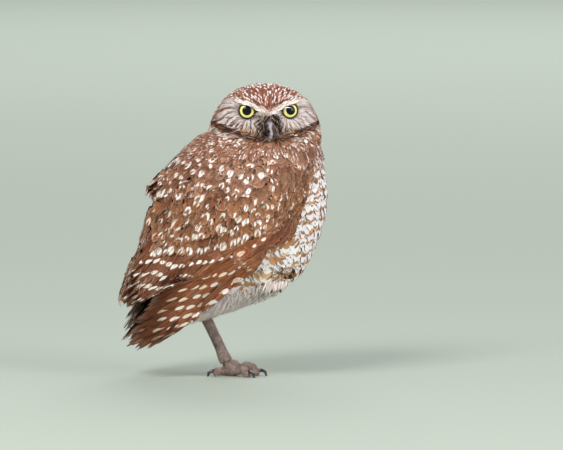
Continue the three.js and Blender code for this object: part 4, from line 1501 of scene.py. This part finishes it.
def build_leg():
    """Shank, sole and toes as one form, flared where the shank meets the foot."""
    made = fused("foot_form", FOOT, 0.25, 0.4, 3)
    x, y, z = vertices_of(made).T
    ankle = step(z, 24, 13) * step(z, 5, 9) * step(np.hypot(x, y), 10, 6)
    group = made.vertex_groups.new(name="ankle")
    for index in np.nonzero(ankle > 0.05)[0]:
        group.add([int(index)], float(ankle[index]), "REPLACE")
    even_out(made, 30, "ankle")
    points = vertices_of(made)
    flare = 0.7 * step(points[:, 2], 20, 12) * step(points[:, 2], 7, 11)
    move_vertices(made, points + normals_of(made) * flare[:, None])
    made.vertex_groups.clear()
    return made


leg = build_leg()
shank = Form(leg)

head_coat()
back_coat()
for side_name in SIDES:
    wing_rows(side_name)
    small_wing_feathers(side_name)
    for kind in WING_PARTS:
        flight_feathers(side_name, kind)
tail_feathers()
tail_coverts()
breast_coat()
flank_coat()
underside_coat()
loose_barbs()
leg_bristles()
build_skin()
for thing in (outline, unwrapped, face_form):
    bpy.data.objects.remove(thing)


# Eyes, bill and claws
def settle(thing, name, points, material):
    """Put moved vertices back, turn the faces outward and attach the piece to the root."""
    move_vertices(thing, points)
    thing.name = thing.data.name = name
    edit_whole(lambda: bpy.ops.mesh.normals_make_consistent(inside=False))
    thing.data.shade_smooth()
    material.put_on(thing)
    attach(thing, "root")


LID_OUTER = math.radians(84)  # how far from the gaze the lids reach over the globe
LID_RING = 0.25  # how thick the ring is that each pair of lids is drawn from
lid_look = lid_finish()


def build_eye(eye):
    across = np.cross(eye.up, eye.gaze)
    bpy.ops.object.select_all(action="DESELECT")
    bpy.ops.mesh.primitive_uv_sphere_add(segments=64, ring_count=40, radius=EYE_RADIUS * MM, location=(0, 0, 0))
    globe = bpy.context.object
    points = vertices_of(globe)
    # the clear front stands a little proud of the globe
    points = points * (1 + 0.02 * step(points[:, 2] / EYE_RADIUS, 0.7, 0.9)[:, None])
    points = points[:, :1] * across + points[:, 1:2] * eye.up + points[:, 2:] * eye.gaze
    wet = eye_finish(f"eye_{eye.name}_wet", eye.middle, eye.gaze)
    settle(globe, f"eye_{eye.name}_globe", points + eye.middle, wet)
    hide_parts(f"eye_{eye.name}")

    # the lids: a ring drawn out over the globe from their opening, with a rolled black edge
    bpy.ops.object.select_all(action="DESELECT")
    bpy.ops.mesh.primitive_torus_add(major_segments=90, minor_segments=28, major_radius=1.0, minor_radius=LID_RING)
    lid = bpy.context.object
    ring = numbers_of(lid, "co")
    turn = np.arctan2(ring[:, 1], ring[:, 0])
    out, over = (np.hypot(ring[:, 0], ring[:, 1]) - 1) / LID_RING, ring[:, 2] / LID_RING
    start = np.arcsin(eye.opening(turn) / (EYE_RADIUS + 0.5))
    angle = start + (LID_OUTER - start) * np.clip((out + 1) / 2, 0, 1) ** 1.6
    from_edge = (angle - start) * EYE_RADIUS
    above = np.clip(np.sin(turn), 0, 1)
    roll = np.exp(-bump(from_edge, 0.5, 0.6)) * (0.3 + 0.4 * above) * step(over, -0.2, 0.3)
    radius = EYE_RADIUS + 0.28 + 0.3 * over * np.clip(1 - out ** 2, 0, 1) ** 0.25 + roll
    flat = np.cos(turn)[:, None] * eye.to_bill + np.sin(turn)[:, None] * eye.up
    points = eye.middle + (flat * np.sin(angle)[:, None] + eye.gaze * np.cos(angle)[:, None]) * radius[:, None]
    colour_vertices(lid.data, "Ground", tones(step(from_edge, 1.25, 0.7), (150, 126, 118), (24, 18, 18)))
    settle(lid, f"eye_{eye.name}_lid", points, lid_look)


for eye in EYES:
    build_eye(eye)

HORN = {  # finish, slot, swelling, voxel and rounds of smoothing
    "bill": (bill_finish(), "bill_horn", 0.0, 0.28, 4),
    "claw": (claw_finish(), "claw_horn", 0.05, 0.16, 2),
}
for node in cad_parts:
    kind = node.split("_")[0]
    if kind in HORN:
        finish, slot, *how = HORN[kind]
        horn = fused(node + "_horn", [node], *how)
        finish.put_on(horn)
        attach(horn, "root")
        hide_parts(node)
